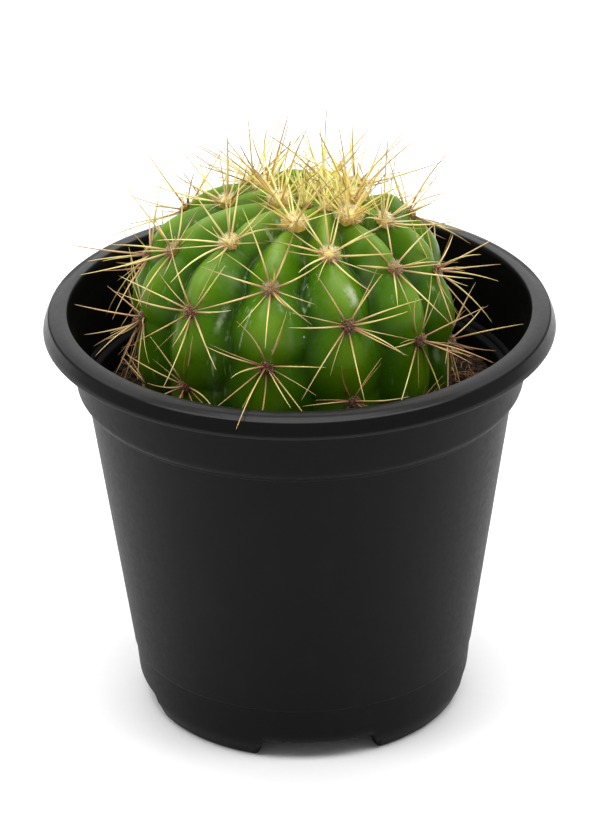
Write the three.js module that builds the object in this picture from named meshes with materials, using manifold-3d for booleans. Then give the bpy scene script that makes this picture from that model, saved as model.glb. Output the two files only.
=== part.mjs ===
// A young barrel cactus in a round nursery pot.
// Millimetres, +Z up, origin on the ground under the middle of the pot.
// Azimuths are in degrees, from the front (-Y) towards +X.
import * as THREE from 'three';
import { ParametricGeometry } from 'three/addons/geometries/ParametricGeometry.js';
import { mergeVertices } from 'three/addons/utils/BufferGeometryUtils.js';
import Module from 'manifold-3d';

const wasm = await Module();
wasm.setup();

// The pot: outside radii and heights, from the foot to the rim.
const POT_HEIGHT = 100;
const RIM_RADIUS = 60;
const RIM_DROP = 4;
const RIM_INNER_RADIUS = 54.1;
const SHOULDER_RADIUS = 58.4;
const SHOULDER_DROP = 0.95;
const COLLAR_TOP_RADIUS = 54;
const COLLAR_EDGE_RADIUS = 52.6;
const COLLAR_EDGE_Z = 82.3;
const WALL_TOP_RADIUS = 50.25;
const SEAM_Z = 14.4;
const SEAM_RADIUS = 40.8;
const SEAM_STEP = 0.35;
const FOOT_TOP_RADIUS = 39.9;
const FOOT_TOP_Z = 8;
const FOOT_RADIUS = 36.3;
const FOOT_INNER_RADIUS = 35.3;
const FLOOR_UNDERSIDE_Z = 4.2;
const FLOOR_RADIUS = 37.9;
const WALL = 1.2;
const LIP_WALL = 1.4;
const LIP_ROUND = 0.5;
const LEDGE_DROP = 0.5;
const FLOOR_ROUND = 0.8;

// The arches between the four feet, and the drain holes in the floor.
const NOTCH_COUNT = 4;
const NOTCH_AZIMUTH = 5.2;
const NOTCH_HEIGHT = 3.9;
const NOTCH_HALF_WIDTH = 14.6;
const NOTCH_TOP_HALF_WIDTH = 12.4;
const DRAIN_COUNT = 8;
const DRAIN_RING_RADIUS = 26;
const DRAIN_RADIUS = 4;
const DRAIN_SIDES = 12;

// The soil, one fitting gap inside the pot and round the plant.
const FIT_GAP = 0.3;
const SOIL_RIM_Z = 75.9;
const SOIL_RISE = 0.9;
const SOIL_UNEVEN = 0.35;
const ROUND_SEGMENTS = 60;

// The plant's body: a superellipse turned about its axis, with a root under it.
const AXIS_X = -1.3;
const AXIS_Y = -0.6;
const BODY_RADIUS = 37.6;
const BODY_POWER = 2.55;
const BODY_MIDDLE_Z = 96;
const BODY_RISE = 32.8;
const BODY_DROP = 30.5;
const DIMPLE_DEPTH = 1.8;
const DIMPLE_RADIUS = 7;
const ROOT_RADIUS = 7;
const ROOT_TIP_RADIUS = 2.4;
const ROOT_TIP_Z = 46;

// The crown has grown off the axis, and the ribs turn on their way up to it.
const CROWN_MOVE = 7.2;
const CROWN_TWIST = -17.5;
const CROWN_START_ARC = 5;
const CROWN_END_ARC = 33;

// The ribs: where each crest stands, how far its areoles sit below their row, and how far its
// first areole is moved besides. Lower down the grooves are shallower.
const RIB_AZIMUTHS = [-10, 21, 51.5, 78, 112, 151, 190, 215, 238, 262, 287, 317];
const RIB_SHIFTS = [0.6, 1.2, 0.8, -0.9, 0.3, -0.5, 0.4, -0.6, 0.5, -0.4, 0, 0.5];
const RIB_TOP_SHIFTS = [-0.4, 0, -2.3, -2.2, -6.5, -6, -2.4, 1.5, 2, -2, -3.5, 0.4];
const RIB_COUNT = RIB_AZIMUTHS.length;
const RIB_DEPTH = 4.6;
const RIB_LOW_DEPTH = 3.0;
const RIB_SHARPNESS = 1.7;
const RIB_START_ARC = 2;
const RIB_FULL_ARC = 20;
const RIB_FADE_ARC = 68;

// The bulge that each rib makes between two areoles, where it is also wider.
const BULGE_HEIGHT = 1.9;
const BULGE_LOW_HEIGHT = 1.1;
const BULGE_LEVEL = 0.6;
const BULGE_LEAN = 1.3;
const BULGE_REACH = 0.95;
const WAIST = 0.13;
const LOW_START_ARC = 32;
const LOW_FULL_ARC = 64;

// The areoles: rows down the ribs, each row on every second rib.
const FIRST_ROW_ARC = 13;
const ROW_ARC = 9.35;
const ROW_COUNT = 7;
const CROWN_ARC = 5;
const CROWN_ROW = -1;
const WOOL_RADII = [1.5, 3.1, 2.5, 2.0, 1.8, 1.7, 1.6, 1.5];
const WOOL_FLATNESS = 0.72;
const WOOL_SIDES = 6;
const WOOL_RINGS = 3;

// The spines: how they stand and how long they are, for the crown and each row.
const SPINE_LIFTS = [66, 44, 30, 24, 18, 16, 16, 18];
const SPINE_LENGTHS = [11.5, 19.5, 20.5, 20, 19.5, 18.5, 17.5, 14];
const CENTRAL_LIFT = 68;
const CENTRAL_LENGTH_SHARE = 1;
const UPRIGHT_ROWS = 2;
const UPPER_SHORTENING = 0.08;
const CLOCK_SPREAD = 14;
const LIFT_SPREAD = 16;
const LENGTH_SPREAD = 0.28;
const OUTWARD_BEND = 0.2;
const SIDEWAYS_BEND = 0.28;
const RADIAL_COUNT = 7;
const CROWN_RADIAL_COUNT = 4;
const SPINE_RADIUS = 0.42;
const SPINE_SUNK = 0.36;
const SPINE_SIDES = 3;
const SPINE_STEPS = 1;
const CLEARANCE = 0.9;
const CLEAR_TRIES = 16;
const CLEAR_RISE = 0.05;
const CLEAR_SHORTENING = 0.95;
const CLEAR_SAMPLES = 6;

const SLICES_PER_RIB = 6;
const SHOWN_STACKS = 17;
const BURIED_STACKS = 5;
const SHOWN_ARC = 79.5;
const WELD = 1e-4;

const radians = THREE.MathUtils.degToRad;
const smooth = THREE.MathUtils.smoothstep;
const lerp = THREE.MathUtils.lerp;

// A number from 0 to 1 that looks random and is always the same for the same three whole numbers.
function chance(a, b, c) {
  const wave = Math.sin(a * 12.9898 + b * 78.233 + c * 37.719) * 43758.5453;
  return wave - Math.floor(wave);
}

// A closed geometry as a solid that can be joined and cut.
function toSolid(geometry) {
  const bare = geometry.clone();
  bare.deleteAttribute('normal');
  bare.deleteAttribute('uv');
  const merged = mergeVertices(bare, WELD);
  const corners = merged.index.array;
  const kept = [];
  for (let i = 0; i < corners.length; i += 3) {
    const [a, b, c] = corners.slice(i, i + 3);
    if (a !== b && b !== c && c !== a) {
      kept.push(a, b, c);
    }
  }
  const mesh = new wasm.Mesh({
    numProp: 3,
    vertProperties: new Float32Array(merged.attributes.position.array),
    triVerts: new Uint32Array(kept),
  });
  return new wasm.Manifold(mesh);
}

function toMesh(name, solid, material) {
  const { vertProperties, triVerts } = solid.getMesh();
  const geometry = new THREE.BufferGeometry();
  geometry.setAttribute('position', new THREE.BufferAttribute(new Float32Array(vertProperties), 3));
  geometry.setIndex(new THREE.BufferAttribute(new Uint32Array(triVerts), 1));
  geometry.computeVertexNormals();
  const mesh = new THREE.Mesh(geometry, material);
  mesh.name = name;
  return mesh;
}

// A profile of [radius, height] points turned about the Z axis.
function turned(points) {
  const outline = points.map(([radius, z]) => new THREE.Vector2(radius, z));
  return new THREE.LatheGeometry(outline, ROUND_SEGMENTS).rotateX(Math.PI / 2);
}

// A horizontal direction at an azimuth.
function outward(azimuth) {
  return new THREE.Vector3(Math.sin(radians(azimuth)), -Math.cos(radians(azimuth)), 0);
}

// Radius of the pot's inside at a height, on the straight wall and on the collar.
function potInside(z) {
  const collarFloor = COLLAR_EDGE_Z - WALL;
  if (z < collarFloor) {
    const slope = (WALL_TOP_RADIUS - SEAM_RADIUS) / (COLLAR_EDGE_Z - SEAM_Z);
    return SEAM_RADIUS - WALL + (z - SEAM_Z) * slope;
  }
  const slope = (COLLAR_TOP_RADIUS - COLLAR_EDGE_RADIUS) / (POT_HEIGHT - RIM_DROP - COLLAR_EDGE_Z);
  return COLLAR_EDGE_RADIUS - WALL + (z - collarFloor) * slope;
}

// Half the pot's section, from the middle of the floor's underside, up the outside and down the inside.
function potOutline() {
  const lipZ = POT_HEIGHT - RIM_DROP;
  const lipInner = RIM_RADIUS - LIP_WALL;
  const underRimZ = POT_HEIGHT - LIP_WALL;
  const shoulderZ = POT_HEIGHT - SHOULDER_DROP;
  const ledgeZ = COLLAR_EDGE_Z - WALL;
  const floorZ = FLOOR_UNDERSIDE_Z + WALL;
  return [
    [0, FLOOR_UNDERSIDE_Z],
    [FOOT_INNER_RADIUS + WALL, FLOOR_UNDERSIDE_Z],
    [FOOT_INNER_RADIUS, 0],
    [FOOT_RADIUS, 0],
    [FOOT_RADIUS + 0.8, 0.4],
    [FOOT_RADIUS + 1.6, 1.3],
    [FOOT_TOP_RADIUS - WALL / 2, FOOT_TOP_Z / 2],
    [FOOT_TOP_RADIUS, FOOT_TOP_Z],
    [SEAM_RADIUS - SEAM_STEP, SEAM_Z],
    [SEAM_RADIUS, SEAM_Z + SEAM_STEP],
    [WALL_TOP_RADIUS, COLLAR_EDGE_Z - 2 * LEDGE_DROP],
    [COLLAR_EDGE_RADIUS - 1.4 * LEDGE_DROP, COLLAR_EDGE_Z - 0.6 * LEDGE_DROP],
    [COLLAR_EDGE_RADIUS, COLLAR_EDGE_Z + LEDGE_DROP],
    [COLLAR_TOP_RADIUS, lipZ],
    [COLLAR_TOP_RADIUS + 2 * LIP_ROUND, underRimZ],
    [SHOULDER_RADIUS - LIP_ROUND, shoulderZ - LIP_WALL],
    [lipInner, lipZ + LIP_ROUND],
    [lipInner + LIP_ROUND, lipZ],
    [RIM_RADIUS - LIP_ROUND, lipZ],
    [RIM_RADIUS, lipZ + LIP_ROUND],
    [RIM_RADIUS - LIP_ROUND / 2, lipZ + 3 * LIP_ROUND],
    [SHOULDER_RADIUS + 2 * LIP_ROUND, shoulderZ - LIP_ROUND],
    [SHOULDER_RADIUS, shoulderZ],
    [RIM_INNER_RADIUS + 2 * LIP_ROUND, POT_HEIGHT],
    [RIM_INNER_RADIUS + LIP_ROUND / 2, POT_HEIGHT - LIP_ROUND / 4],
    [RIM_INNER_RADIUS, POT_HEIGHT - 2 * LIP_ROUND],
    [potInside(lipZ), lipZ],
    [COLLAR_EDGE_RADIUS - WALL, ledgeZ],
    [WALL_TOP_RADIUS - WALL + LEDGE_DROP, ledgeZ - LEDGE_DROP],
    [potInside(ledgeZ - 2 * LEDGE_DROP), ledgeZ - 2 * LEDGE_DROP],
    [potInside(SEAM_Z), SEAM_Z],
    [FLOOR_RADIUS, floorZ + FLOOR_ROUND],
    [FLOOR_RADIUS - FLOOR_ROUND, floorZ],
    [0, floorZ],
  ];
}

// One arch between two feet: a wedge-sided block across the foot ring.
function notchCutter(azimuth) {
  const depth = 12;
  const below = 1;
  const flare = ((NOTCH_HALF_WIDTH - NOTCH_TOP_HALF_WIDTH) * below) / NOTCH_HEIGHT;
  const face = new THREE.Shape([
    new THREE.Vector2(-NOTCH_HALF_WIDTH - flare, -below),
    new THREE.Vector2(NOTCH_HALF_WIDTH + flare, -below),
    new THREE.Vector2(NOTCH_TOP_HALF_WIDTH, NOTCH_HEIGHT),
    new THREE.Vector2(-NOTCH_TOP_HALF_WIDTH, NOTCH_HEIGHT),
  ]);
  const block = new THREE.ExtrudeGeometry(face, { depth, bevelEnabled: false });
  block.rotateX(Math.PI / 2);
  block.translate(0, -FOOT_RADIUS + depth * 0.7, 0);
  return block.rotateZ(radians(azimuth));
}

function drainCutter(radius, azimuth) {
  const height = 4 * WALL;
  const hole = new THREE.CylinderGeometry(DRAIN_RADIUS, DRAIN_RADIUS, height, DRAIN_SIDES);
  hole.rotateX(Math.PI / 2);
  const centre = outward(azimuth).multiplyScalar(radius);
  return hole.translate(centre.x, centre.y, FLOOR_UNDERSIDE_Z + WALL / 2);
}

function makePot() {
  let pot = toSolid(turned(potOutline()));
  for (let i = 0; i < NOTCH_COUNT; i += 1) {
    pot = pot.subtract(toSolid(notchCutter(NOTCH_AZIMUTH + (i * 360) / NOTCH_COUNT)));
  }
  for (let i = 0; i < DRAIN_COUNT; i += 1) {
    pot = pot.subtract(toSolid(drainCutter(DRAIN_RING_RADIUS, NOTCH_AZIMUTH + (i * 360) / DRAIN_COUNT)));
  }
  pot = pot.subtract(toSolid(drainCutter(0, 0)));
  const plastic = new THREE.MeshStandardMaterial({ color: 0x1c1c1d, roughness: 0.55, metalness: 0 });
  return toMesh('pot', pot, plastic);
}

// The body's outline from the crown down to the root's tip, as points with their arc length.
function bodyOutline() {
  const points = [];
  const steps = 240;
  for (let i = 0; i <= steps; i += 1) {
    const angle = (Math.PI * i) / steps;
    const radius = BODY_RADIUS * Math.sin(angle) ** (2 / BODY_POWER);
    const level = Math.sign(Math.cos(angle)) * Math.abs(Math.cos(angle)) ** (2 / BODY_POWER);
    const dimple = level > 0 ? DIMPLE_DEPTH * Math.exp(-((radius / DIMPLE_RADIUS) ** 2)) : 0;
    const z = BODY_MIDDLE_Z + level * (level > 0 ? BODY_RISE : BODY_DROP) - dimple;
    if (level > 0 || radius > ROOT_RADIUS) {
      points.push({ radius: i === 0 ? 0 : radius, z });
    }
  }
  points.push({ radius: ROOT_TIP_RADIUS, z: ROOT_TIP_Z + ROOT_TIP_RADIUS });
  points.push({ radius: 0, z: ROOT_TIP_Z });
  let arc = 0;
  return points.map((point, i) => {
    if (i > 0) {
      arc += Math.hypot(point.radius - points[i - 1].radius, point.z - points[i - 1].z);
    }
    return { ...point, arc };
  });
}

const OUTLINE = bodyOutline();
const OUTLINE_LENGTH = OUTLINE[OUTLINE.length - 1].arc;

// The outline's radius and height at an arc length from the crown.
function outlineAt(arc) {
  const clamped = THREE.MathUtils.clamp(arc, 0, OUTLINE_LENGTH);
  const next = Math.max(1, OUTLINE.findIndex((point) => point.arc >= clamped));
  const [before, after] = [OUTLINE[next - 1], OUTLINE[next]];
  const share = (clamped - before.arc) / (after.arc - before.arc);
  return new THREE.Vector2(
    lerp(before.radius, after.radius, share),
    lerp(before.z, after.z, share),
  );
}

// The outline's direction down the body at an arc length.
function outlineSlope(arc) {
  const step = 0.5;
  return outlineAt(arc + step).sub(outlineAt(arc - step)).normalize();
}

// How much of the crown's sideways move and of its turn applies at an arc length.
function crownShare(arc) {
  return 1 - smooth(arc, CROWN_START_ARC, CROWN_END_ARC);
}

// Degrees from one rib's crest to the next one's.
function gapAfter(rib) {
  const [from, to] = [RIB_AZIMUTHS[rib % RIB_COUNT], RIB_AZIMUTHS[(rib + 1) % RIB_COUNT]];
  return (to - from + 360) % 360;
}

// Arc length of an areole; odd rows sit on odd ribs and even rows on even ribs.
function areoleArc(row, rib) {
  if (row === CROWN_ROW) {
    return CROWN_ARC;
  }
  const first = row < 2 ? RIB_TOP_SHIFTS[rib] : 0;
  return FIRST_ROW_ARC + row * ROW_ARC + RIB_SHIFTS[rib] + first;
}

// How high one rib stands at a place. It falls off to both sides as a power of the distance over
// its width, and bulges and widens between one areole and the next.
function ribHeight(rib, azimuth, arc) {
  const turn = azimuth - CROWN_TWIST * crownShare(arc) - RIB_AZIMUTHS[rib];
  const offset = THREE.MathUtils.euclideanModulo(turn + 180, 360) - 180;
  const halfGap = gapAfter(offset < 0 ? rib + RIB_COUNT - 1 : rib) / 2;
  const share = Math.abs(offset) / halfGap;
  const low = smooth(arc, LOW_START_ARC, LOW_FULL_ARC);
  const start = FIRST_ROW_ARC + (rib % 2) * ROW_ARC + RIB_SHIFTS[rib];
  const moved = RIB_TOP_SHIFTS[rib] * (1 - smooth(arc, start, start + 2 * ROW_ARC));
  const along = (arc - start - moved) / (2 * ROW_ARC);
  const swell = Math.sin(Math.PI * (along - Math.floor(along)) ** BULGE_LEAN);
  const dome = 1 - smooth(share, 0, BULGE_REACH);
  const width = 1 + WAIST * (2 * swell - 1);
  const bulge = lerp(BULGE_HEIGHT, BULGE_LOW_HEIGHT, low) * (swell * dome - BULGE_LEVEL);
  return bulge - lerp(RIB_DEPTH, RIB_LOW_DEPTH, low) * (share / width) ** RIB_SHARPNESS;
}

// How far the skin stands out of the turned outline: the highest of all ribs, so that two ribs
// meet in a sharp groove. It fades out at the crown and at the soil.
function relief(azimuth, arc) {
  const heights = RIB_AZIMUTHS.map((crest, rib) => ribHeight(rib, azimuth, arc));
  const strength = smooth(arc, RIB_START_ARC, RIB_FULL_ARC) * (1 - smooth(arc, RIB_FADE_ARC, SHOWN_ARC));
  return strength * Math.max(...heights);
}

function skinPoint(azimuth, arc) {
  const { x: radius, y: z } = outlineAt(arc);
  const { x: run, y: fall } = outlineSlope(arc);
  const height = relief(azimuth, arc);
  const point = outward(azimuth).multiplyScalar(Math.max(0, radius - fall * height));
  return point.add(new THREE.Vector3(AXIS_X + CROWN_MOVE * crownShare(arc), AXIS_Y, z + run * height));
}

// Arc length of the rings below the soil's surface, from 0 at the surface to the root's tip.
function buriedArc(stack) {
  return SHOWN_ARC + (stack / BURIED_STACKS) * (OUTLINE_LENGTH - SHOWN_ARC);
}

function bodyGeometry() {
  const stacks = SHOWN_STACKS + BURIED_STACKS;
  const surface = (u, v, target) => {
    const stack = v * stacks;
    const buried = stack > SHOWN_STACKS;
    const arc = buried ? buriedArc(stack - SHOWN_STACKS) : (stack / SHOWN_STACKS) * SHOWN_ARC;
    const turn = RIB_COUNT * (1 - u);
    const rib = Math.floor(turn) % RIB_COUNT;
    const azimuth = RIB_AZIMUTHS[rib] + (turn - Math.floor(turn)) * gapAfter(rib);
    target.copy(skinPoint(azimuth + CROWN_TWIST * crownShare(arc), arc));
  };
  return new ParametricGeometry(surface, RIB_COUNT * SLICES_PER_RIB, stacks);
}

// The place and directions of one areole: on its rib's crest, up the rib, along the row, outward.
function areoleFrame(row, rib) {
  const arc = areoleArc(row, rib);
  const azimuth = RIB_AZIMUTHS[rib] + CROWN_TWIST * crownShare(arc);
  const slope = outlineSlope(arc);
  const out = outward(azimuth);
  return {
    point: skinPoint(azimuth, arc),
    up: out.clone().multiplyScalar(-slope.x).setZ(-slope.y),
    side: outward(azimuth + 90),
    normal: out.clone().multiplyScalar(-slope.y).setZ(slope.x),
  };
}

function woolGeometry(frame, row) {
  const radius = WOOL_RADII[row - CROWN_ROW];
  const dome = new THREE.SphereGeometry(radius, WOOL_SIDES, WOOL_RINGS).rotateX(Math.PI / 2);
  dome.scale(1, 1, WOOL_FLATNESS);
  const basis = new THREE.Matrix4().makeBasis(frame.side, frame.up, frame.normal);
  return dome.applyMatrix4(basis.setPosition(frame.point));
}

// A point part-way along a spine, whose bend grows with the square of the distance.
function alongSpine(spine, share) {
  const point = spine.root.clone().addScaledVector(spine.direction, spine.length * share);
  return point.addScaledVector(spine.bend, spine.length * share * share);
}

// True where a spine would come too near the soil or the pot.
function isBlocked(spine) {
  for (let i = 2; i <= CLEAR_SAMPLES; i += 1) {
    const point = alongSpine(spine, i / CLEAR_SAMPLES);
    const distance = Math.hypot(point.x, point.y);
    const nearSoil = point.z < SOIL_RIM_Z + SOIL_RISE + CLEARANCE;
    const nearWall = point.z < POT_HEIGHT + CLEARANCE && distance > potInside(point.z) - CLEARANCE;
    if (nearSoil || nearWall) {
      return true;
    }
  }
  return false;
}

// The same spine bent upwards and a little shorter, until it is clear; nothing if it never is.
function clearedSpine(spine) {
  for (let i = 0; i < CLEAR_TRIES; i += 1) {
    if (!isBlocked(spine)) {
      return spine;
    }
    spine.direction.z += CLEAR_RISE;
    spine.direction.normalize();
    spine.length *= CLEAR_SHORTENING;
  }
  return null;
}

// One spine of an areole; clock is its direction round the areole, 0 up the rib.
function spineAt(frame, row, rib, number, clock, lift, length) {
  const key = row * 40 + number;
  const turn = radians(clock + CLOCK_SPREAD * (chance(key, rib, 1) - 0.5));
  const rise = radians(lift + LIFT_SPREAD * (chance(key, rib, 2) - 0.5));
  const flat = frame.up.clone().multiplyScalar(Math.cos(turn)).addScaledVector(frame.side, Math.sin(turn));
  const direction = flat.multiplyScalar(Math.cos(rise)).addScaledVector(frame.normal, Math.sin(rise));
  const bend = frame.normal.clone().multiplyScalar(OUTWARD_BEND * (chance(key, rib, 3) - 0.6));
  bend.addScaledVector(frame.side, SIDEWAYS_BEND * (chance(key, rib, 4) - 0.5));
  return {
    root: frame.point.clone().addScaledVector(frame.normal, -SPINE_SUNK),
    direction,
    bend,
    length: length * (1 + LENGTH_SPREAD * (chance(key, rib, 5) - 0.5)),
  };
}

function spinesOf(frame, row, rib) {
  const lift = SPINE_LIFTS[row - CROWN_ROW];
  const reach = SPINE_LENGTHS[row - CROWN_ROW];
  const count = row === CROWN_ROW ? CROWN_RADIAL_COUNT : RADIAL_COUNT;
  const spines = [];
  for (let i = 0; i < count; i += 1) {
    const clock = ((i + 0.5) * 360) / count;
    const shortened = 1 - UPPER_SHORTENING * (1 + Math.cos(radians(clock)));
    spines.push(spineAt(frame, row, rib, i, clock, lift, reach * shortened));
  }
  const centralClock = row < UPRIGHT_ROWS ? 0 : 360 * chance(row, rib, 6);
  spines.push(spineAt(frame, row, rib, count, centralClock, CENTRAL_LIFT, reach * CENTRAL_LENGTH_SHARE));
  return spines.map(clearedSpine).filter((spine) => spine !== null);
}

function spineGeometry(spine) {
  const cone = new THREE.ConeGeometry(SPINE_RADIUS, spine.length, SPINE_SIDES, SPINE_STEPS);
  cone.translate(0, spine.length / 2, 0);
  const turn = new THREE.Quaternion().setFromUnitVectors(new THREE.Vector3(0, 1, 0), spine.direction);
  const place = cone.attributes.position;
  const point = new THREE.Vector3();
  for (let i = 0; i < place.count; i += 1) {
    const share = place.getY(i) / spine.length;
    point.set(place.getX(i), 0, place.getZ(i)).applyQuaternion(turn);
    point.add(alongSpine(spine, share));
    place.setXYZ(i, point.x, point.y, point.z);
  }
  return cone;
}

function makeCactus() {
  let cactus = toSolid(bodyGeometry());
  for (let row = CROWN_ROW; row < ROW_COUNT; row += 1) {
    for (let rib = Math.abs(row) % 2; rib < RIB_COUNT; rib += 2) {
      const frame = areoleFrame(row, rib);
      cactus = cactus.add(toSolid(woolGeometry(frame, row)));
      for (const spine of spinesOf(frame, row, rib)) {
        cactus = cactus.add(toSolid(spineGeometry(spine)));
      }
    }
  }
  const skin = new THREE.MeshStandardMaterial({ color: 0x3f7a1c, roughness: 0.4, metalness: 0 });
  return toMesh('cactus', cactus, skin);
}

// The soil fills the pot; its top is a little uneven and rises towards the plant.
function soilGeometry() {
  const floorZ = FLOOR_UNDERSIDE_Z + WALL + FIT_GAP;
  const topRadius = potInside(SOIL_RIM_Z) - FIT_GAP;
  const rings = 3;
  const points = [
    [0, floorZ],
    [FLOOR_RADIUS - FLOOR_ROUND - FIT_GAP, floorZ],
    [FLOOR_RADIUS - FIT_GAP, floorZ + FLOOR_ROUND],
    [potInside(SEAM_Z) - FIT_GAP, SEAM_Z],
  ];
  for (let i = 0; i <= rings; i += 1) {
    const share = i / rings;
    const radius = lerp(topRadius, BODY_RADIUS * 0.8, share);
    points.push([radius, SOIL_RIM_Z + SOIL_RISE * share]);
  }
  points.push([0, SOIL_RIM_Z + SOIL_RISE]);
  const soil = turned(points);
  const place = soil.attributes.position;
  for (let i = 0; i < place.count; i += 1) {
    const [x, y, z] = [place.getX(i), place.getY(i), place.getZ(i)];
    if (z > SOIL_RIM_Z - 1 && Math.hypot(x, y) > 1) {
      place.setZ(i, z + SOIL_UNEVEN * Math.sin(x * 0.9 + Math.sin(y * 0.7)) * Math.cos(y * 0.8 - x * 0.2));
    }
  }
  return soil;
}

// The bowl and root channel that the plant stands in, one gap wider than the plant.
function plantHole() {
  const points = [[0, ROOT_TIP_Z - FIT_GAP]];
  for (let stack = BURIED_STACKS; stack >= -1; stack -= 1) {
    const { x: radius, y: z } = outlineAt(buriedArc(stack));
    const gap = stack < 0 ? 2 * FIT_GAP : FIT_GAP;
    points.push([radius + gap, z - FIT_GAP]);
  }
  points.push([0, points[points.length - 1][1]]);
  return turned(points).translate(AXIS_X, AXIS_Y, 0);
}

function makeSoil() {
  const soil = toSolid(soilGeometry()).subtract(toSolid(plantHole()));
  const earth = new THREE.MeshStandardMaterial({ color: 0x2e1f16, roughness: 0.95, metalness: 0 });
  return toMesh('soil', soil, earth);
}

const plantInPot = new THREE.Group();
plantInPot.add(makePot(), makeSoil(), makeCactus());

export default plantInPot;
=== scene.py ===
import logging
import math
from dataclasses import dataclass, field
from enum import Enum

import bpy
import numpy as np
from mathutils import Matrix


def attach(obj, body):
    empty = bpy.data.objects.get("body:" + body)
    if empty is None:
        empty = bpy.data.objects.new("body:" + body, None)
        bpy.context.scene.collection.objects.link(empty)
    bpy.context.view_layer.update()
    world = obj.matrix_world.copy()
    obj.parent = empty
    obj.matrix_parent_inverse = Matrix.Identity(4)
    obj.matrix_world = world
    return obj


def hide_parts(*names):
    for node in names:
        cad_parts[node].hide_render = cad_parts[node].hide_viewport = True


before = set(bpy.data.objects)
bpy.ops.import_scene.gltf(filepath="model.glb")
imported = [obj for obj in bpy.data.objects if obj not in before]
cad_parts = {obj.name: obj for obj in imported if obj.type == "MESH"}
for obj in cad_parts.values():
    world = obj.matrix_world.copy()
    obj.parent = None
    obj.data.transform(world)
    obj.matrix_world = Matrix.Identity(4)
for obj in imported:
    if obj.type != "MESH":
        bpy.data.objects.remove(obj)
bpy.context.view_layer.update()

# Lengths below are millimetres, with Z up and the origin on the ground under the pot. Azimuths are
# degrees from the front (-Y) towards +X. Meshes are turned into metres when they are made.

LOG = logging.getLogger("potted_cactus")
MM = 0.001
ROOT_BODY = "root"
UPRIGHT = np.array([0.0, 0.0, 1.0])
TINY = 1e-9
STEEP = 0.9

Triple = tuple[float, float, float]
Colour = tuple[float, float, float]
Range = tuple[float, float]
Ramp = tuple[float, float, float, float]
Noise = tuple[float, float]
Socket = bpy.types.NodeSocket


class Slot(Enum):
    """The record's material slots."""

    POT = "pot_plastic"
    SOIL = "potting_soil"
    SKIN = "cactus_skin"
    WOOL = "areole_wool"
    SPINES = "spines"


def chance(a: np.ndarray, b: np.ndarray, c: float) -> np.ndarray:
    """The fractional part of a large multiple of sin(weighted sum): looks random, always the same.

    Args:
        a: First whole number or array of them.
        b: Second whole number or array of them.
        c: Third number, which picks one of many such series.

    Returns:
        Numbers from 0 to 1, shaped as a and b together.
    """
    wave = np.sin(np.asarray(a) * 12.9898 + np.asarray(b) * 78.233 + c * 37.719) * 43758.5453
    return wave - np.floor(wave)


def chances(a: np.ndarray, b: np.ndarray, c: float) -> np.ndarray:
    """Three draws as a vector, from the series c, c + 1 and c + 2."""
    return np.stack([chance(a, b, c + step) for step in range(3)], -1)


def smoothstep(value: np.ndarray, start: float, end: float) -> np.ndarray:
    """The cubic 3t^2 - 2t^3 of how far value is from start to end, held at 0 and 1 outside."""
    t = np.clip((value - start) / (end - start), 0.0, 1.0)
    return t * t * (3.0 - 2.0 * t)


def outward(azimuth: np.ndarray) -> np.ndarray:
    """The horizontal unit vector (sin, -cos, 0) at each azimuth in degrees."""
    angle = np.radians(azimuth)
    return np.stack([np.sin(angle), -np.cos(angle), np.zeros_like(angle)], -1)


def ripple(points: np.ndarray, wavelength: float, seed: int) -> np.ndarray:
    """Smooth noise: the mean of eight sines of the place along eight fixed directions.

    Args:
        points: Places, with the three coordinates last.
        wavelength: Roughly the distance between two crests.
        seed: Picks the directions and phases.

    Returns:
        Values from about -1 to 1, one for each place.
    """
    numbers = np.arange(8)
    tilt = np.arccos(1.0 - 2.0 * chance(numbers, seed, 1.0))
    turn = 2.0 * np.pi * chance(numbers, seed, 2.0)
    directions = np.stack([np.sin(tilt) * np.cos(turn), np.sin(tilt) * np.sin(turn), np.cos(tilt)], 0)
    pitch = 0.7 + 0.6 * chance(numbers, seed, 3.0)
    phase = 2.0 * np.pi * chance(numbers, seed, 4.0)
    waves = np.sin(points @ directions * (2.0 * np.pi * pitch / wavelength) + phase)
    return waves.mean(-1) * 2.0


def unit(vectors: np.ndarray) -> np.ndarray:
    """Each vector divided by its own length."""
    return vectors / np.maximum(np.linalg.norm(vectors, axis=-1, keepdims=True), TINY)


def across(directions: np.ndarray) -> tuple[np.ndarray, np.ndarray]:
    """Two unit vectors square to each direction and to each other.

    Args:
        directions: Unit vectors, with the three coordinates last.

    Returns:
        The first and the second vector, each shaped as directions.
    """
    steep = np.abs(directions[..., 2:]) > STEEP
    helper = np.where(steep, [1.0, 0.0, 0.0], UPRIGHT)
    first = unit(np.cross(directions, helper))
    return first, np.cross(directions, first)


def ring_round(directions: np.ndarray, sides: int) -> np.ndarray:
    """A ring of unit vectors: cos(angle) along one vector square to the direction, sin along the other.

    Args:
        directions: Unit vectors, with the three coordinates last.
        sides: How many vectors stand round each of them.

    Returns:
        The vectors, with the ring's axis just before the coordinates.
    """
    first, second = across(directions)
    angle = (2.0 * np.pi * np.arange(sides) / sides)[:, None]
    return first[..., None, :] * np.cos(angle) + second[..., None, :] * np.sin(angle)


def spread(values: np.ndarray, rings: np.ndarray) -> np.ndarray:
    """One value for each tube, repeated over all points of its rings."""
    return np.broadcast_to(values[:, None, None], rings.shape[:3])


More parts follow.
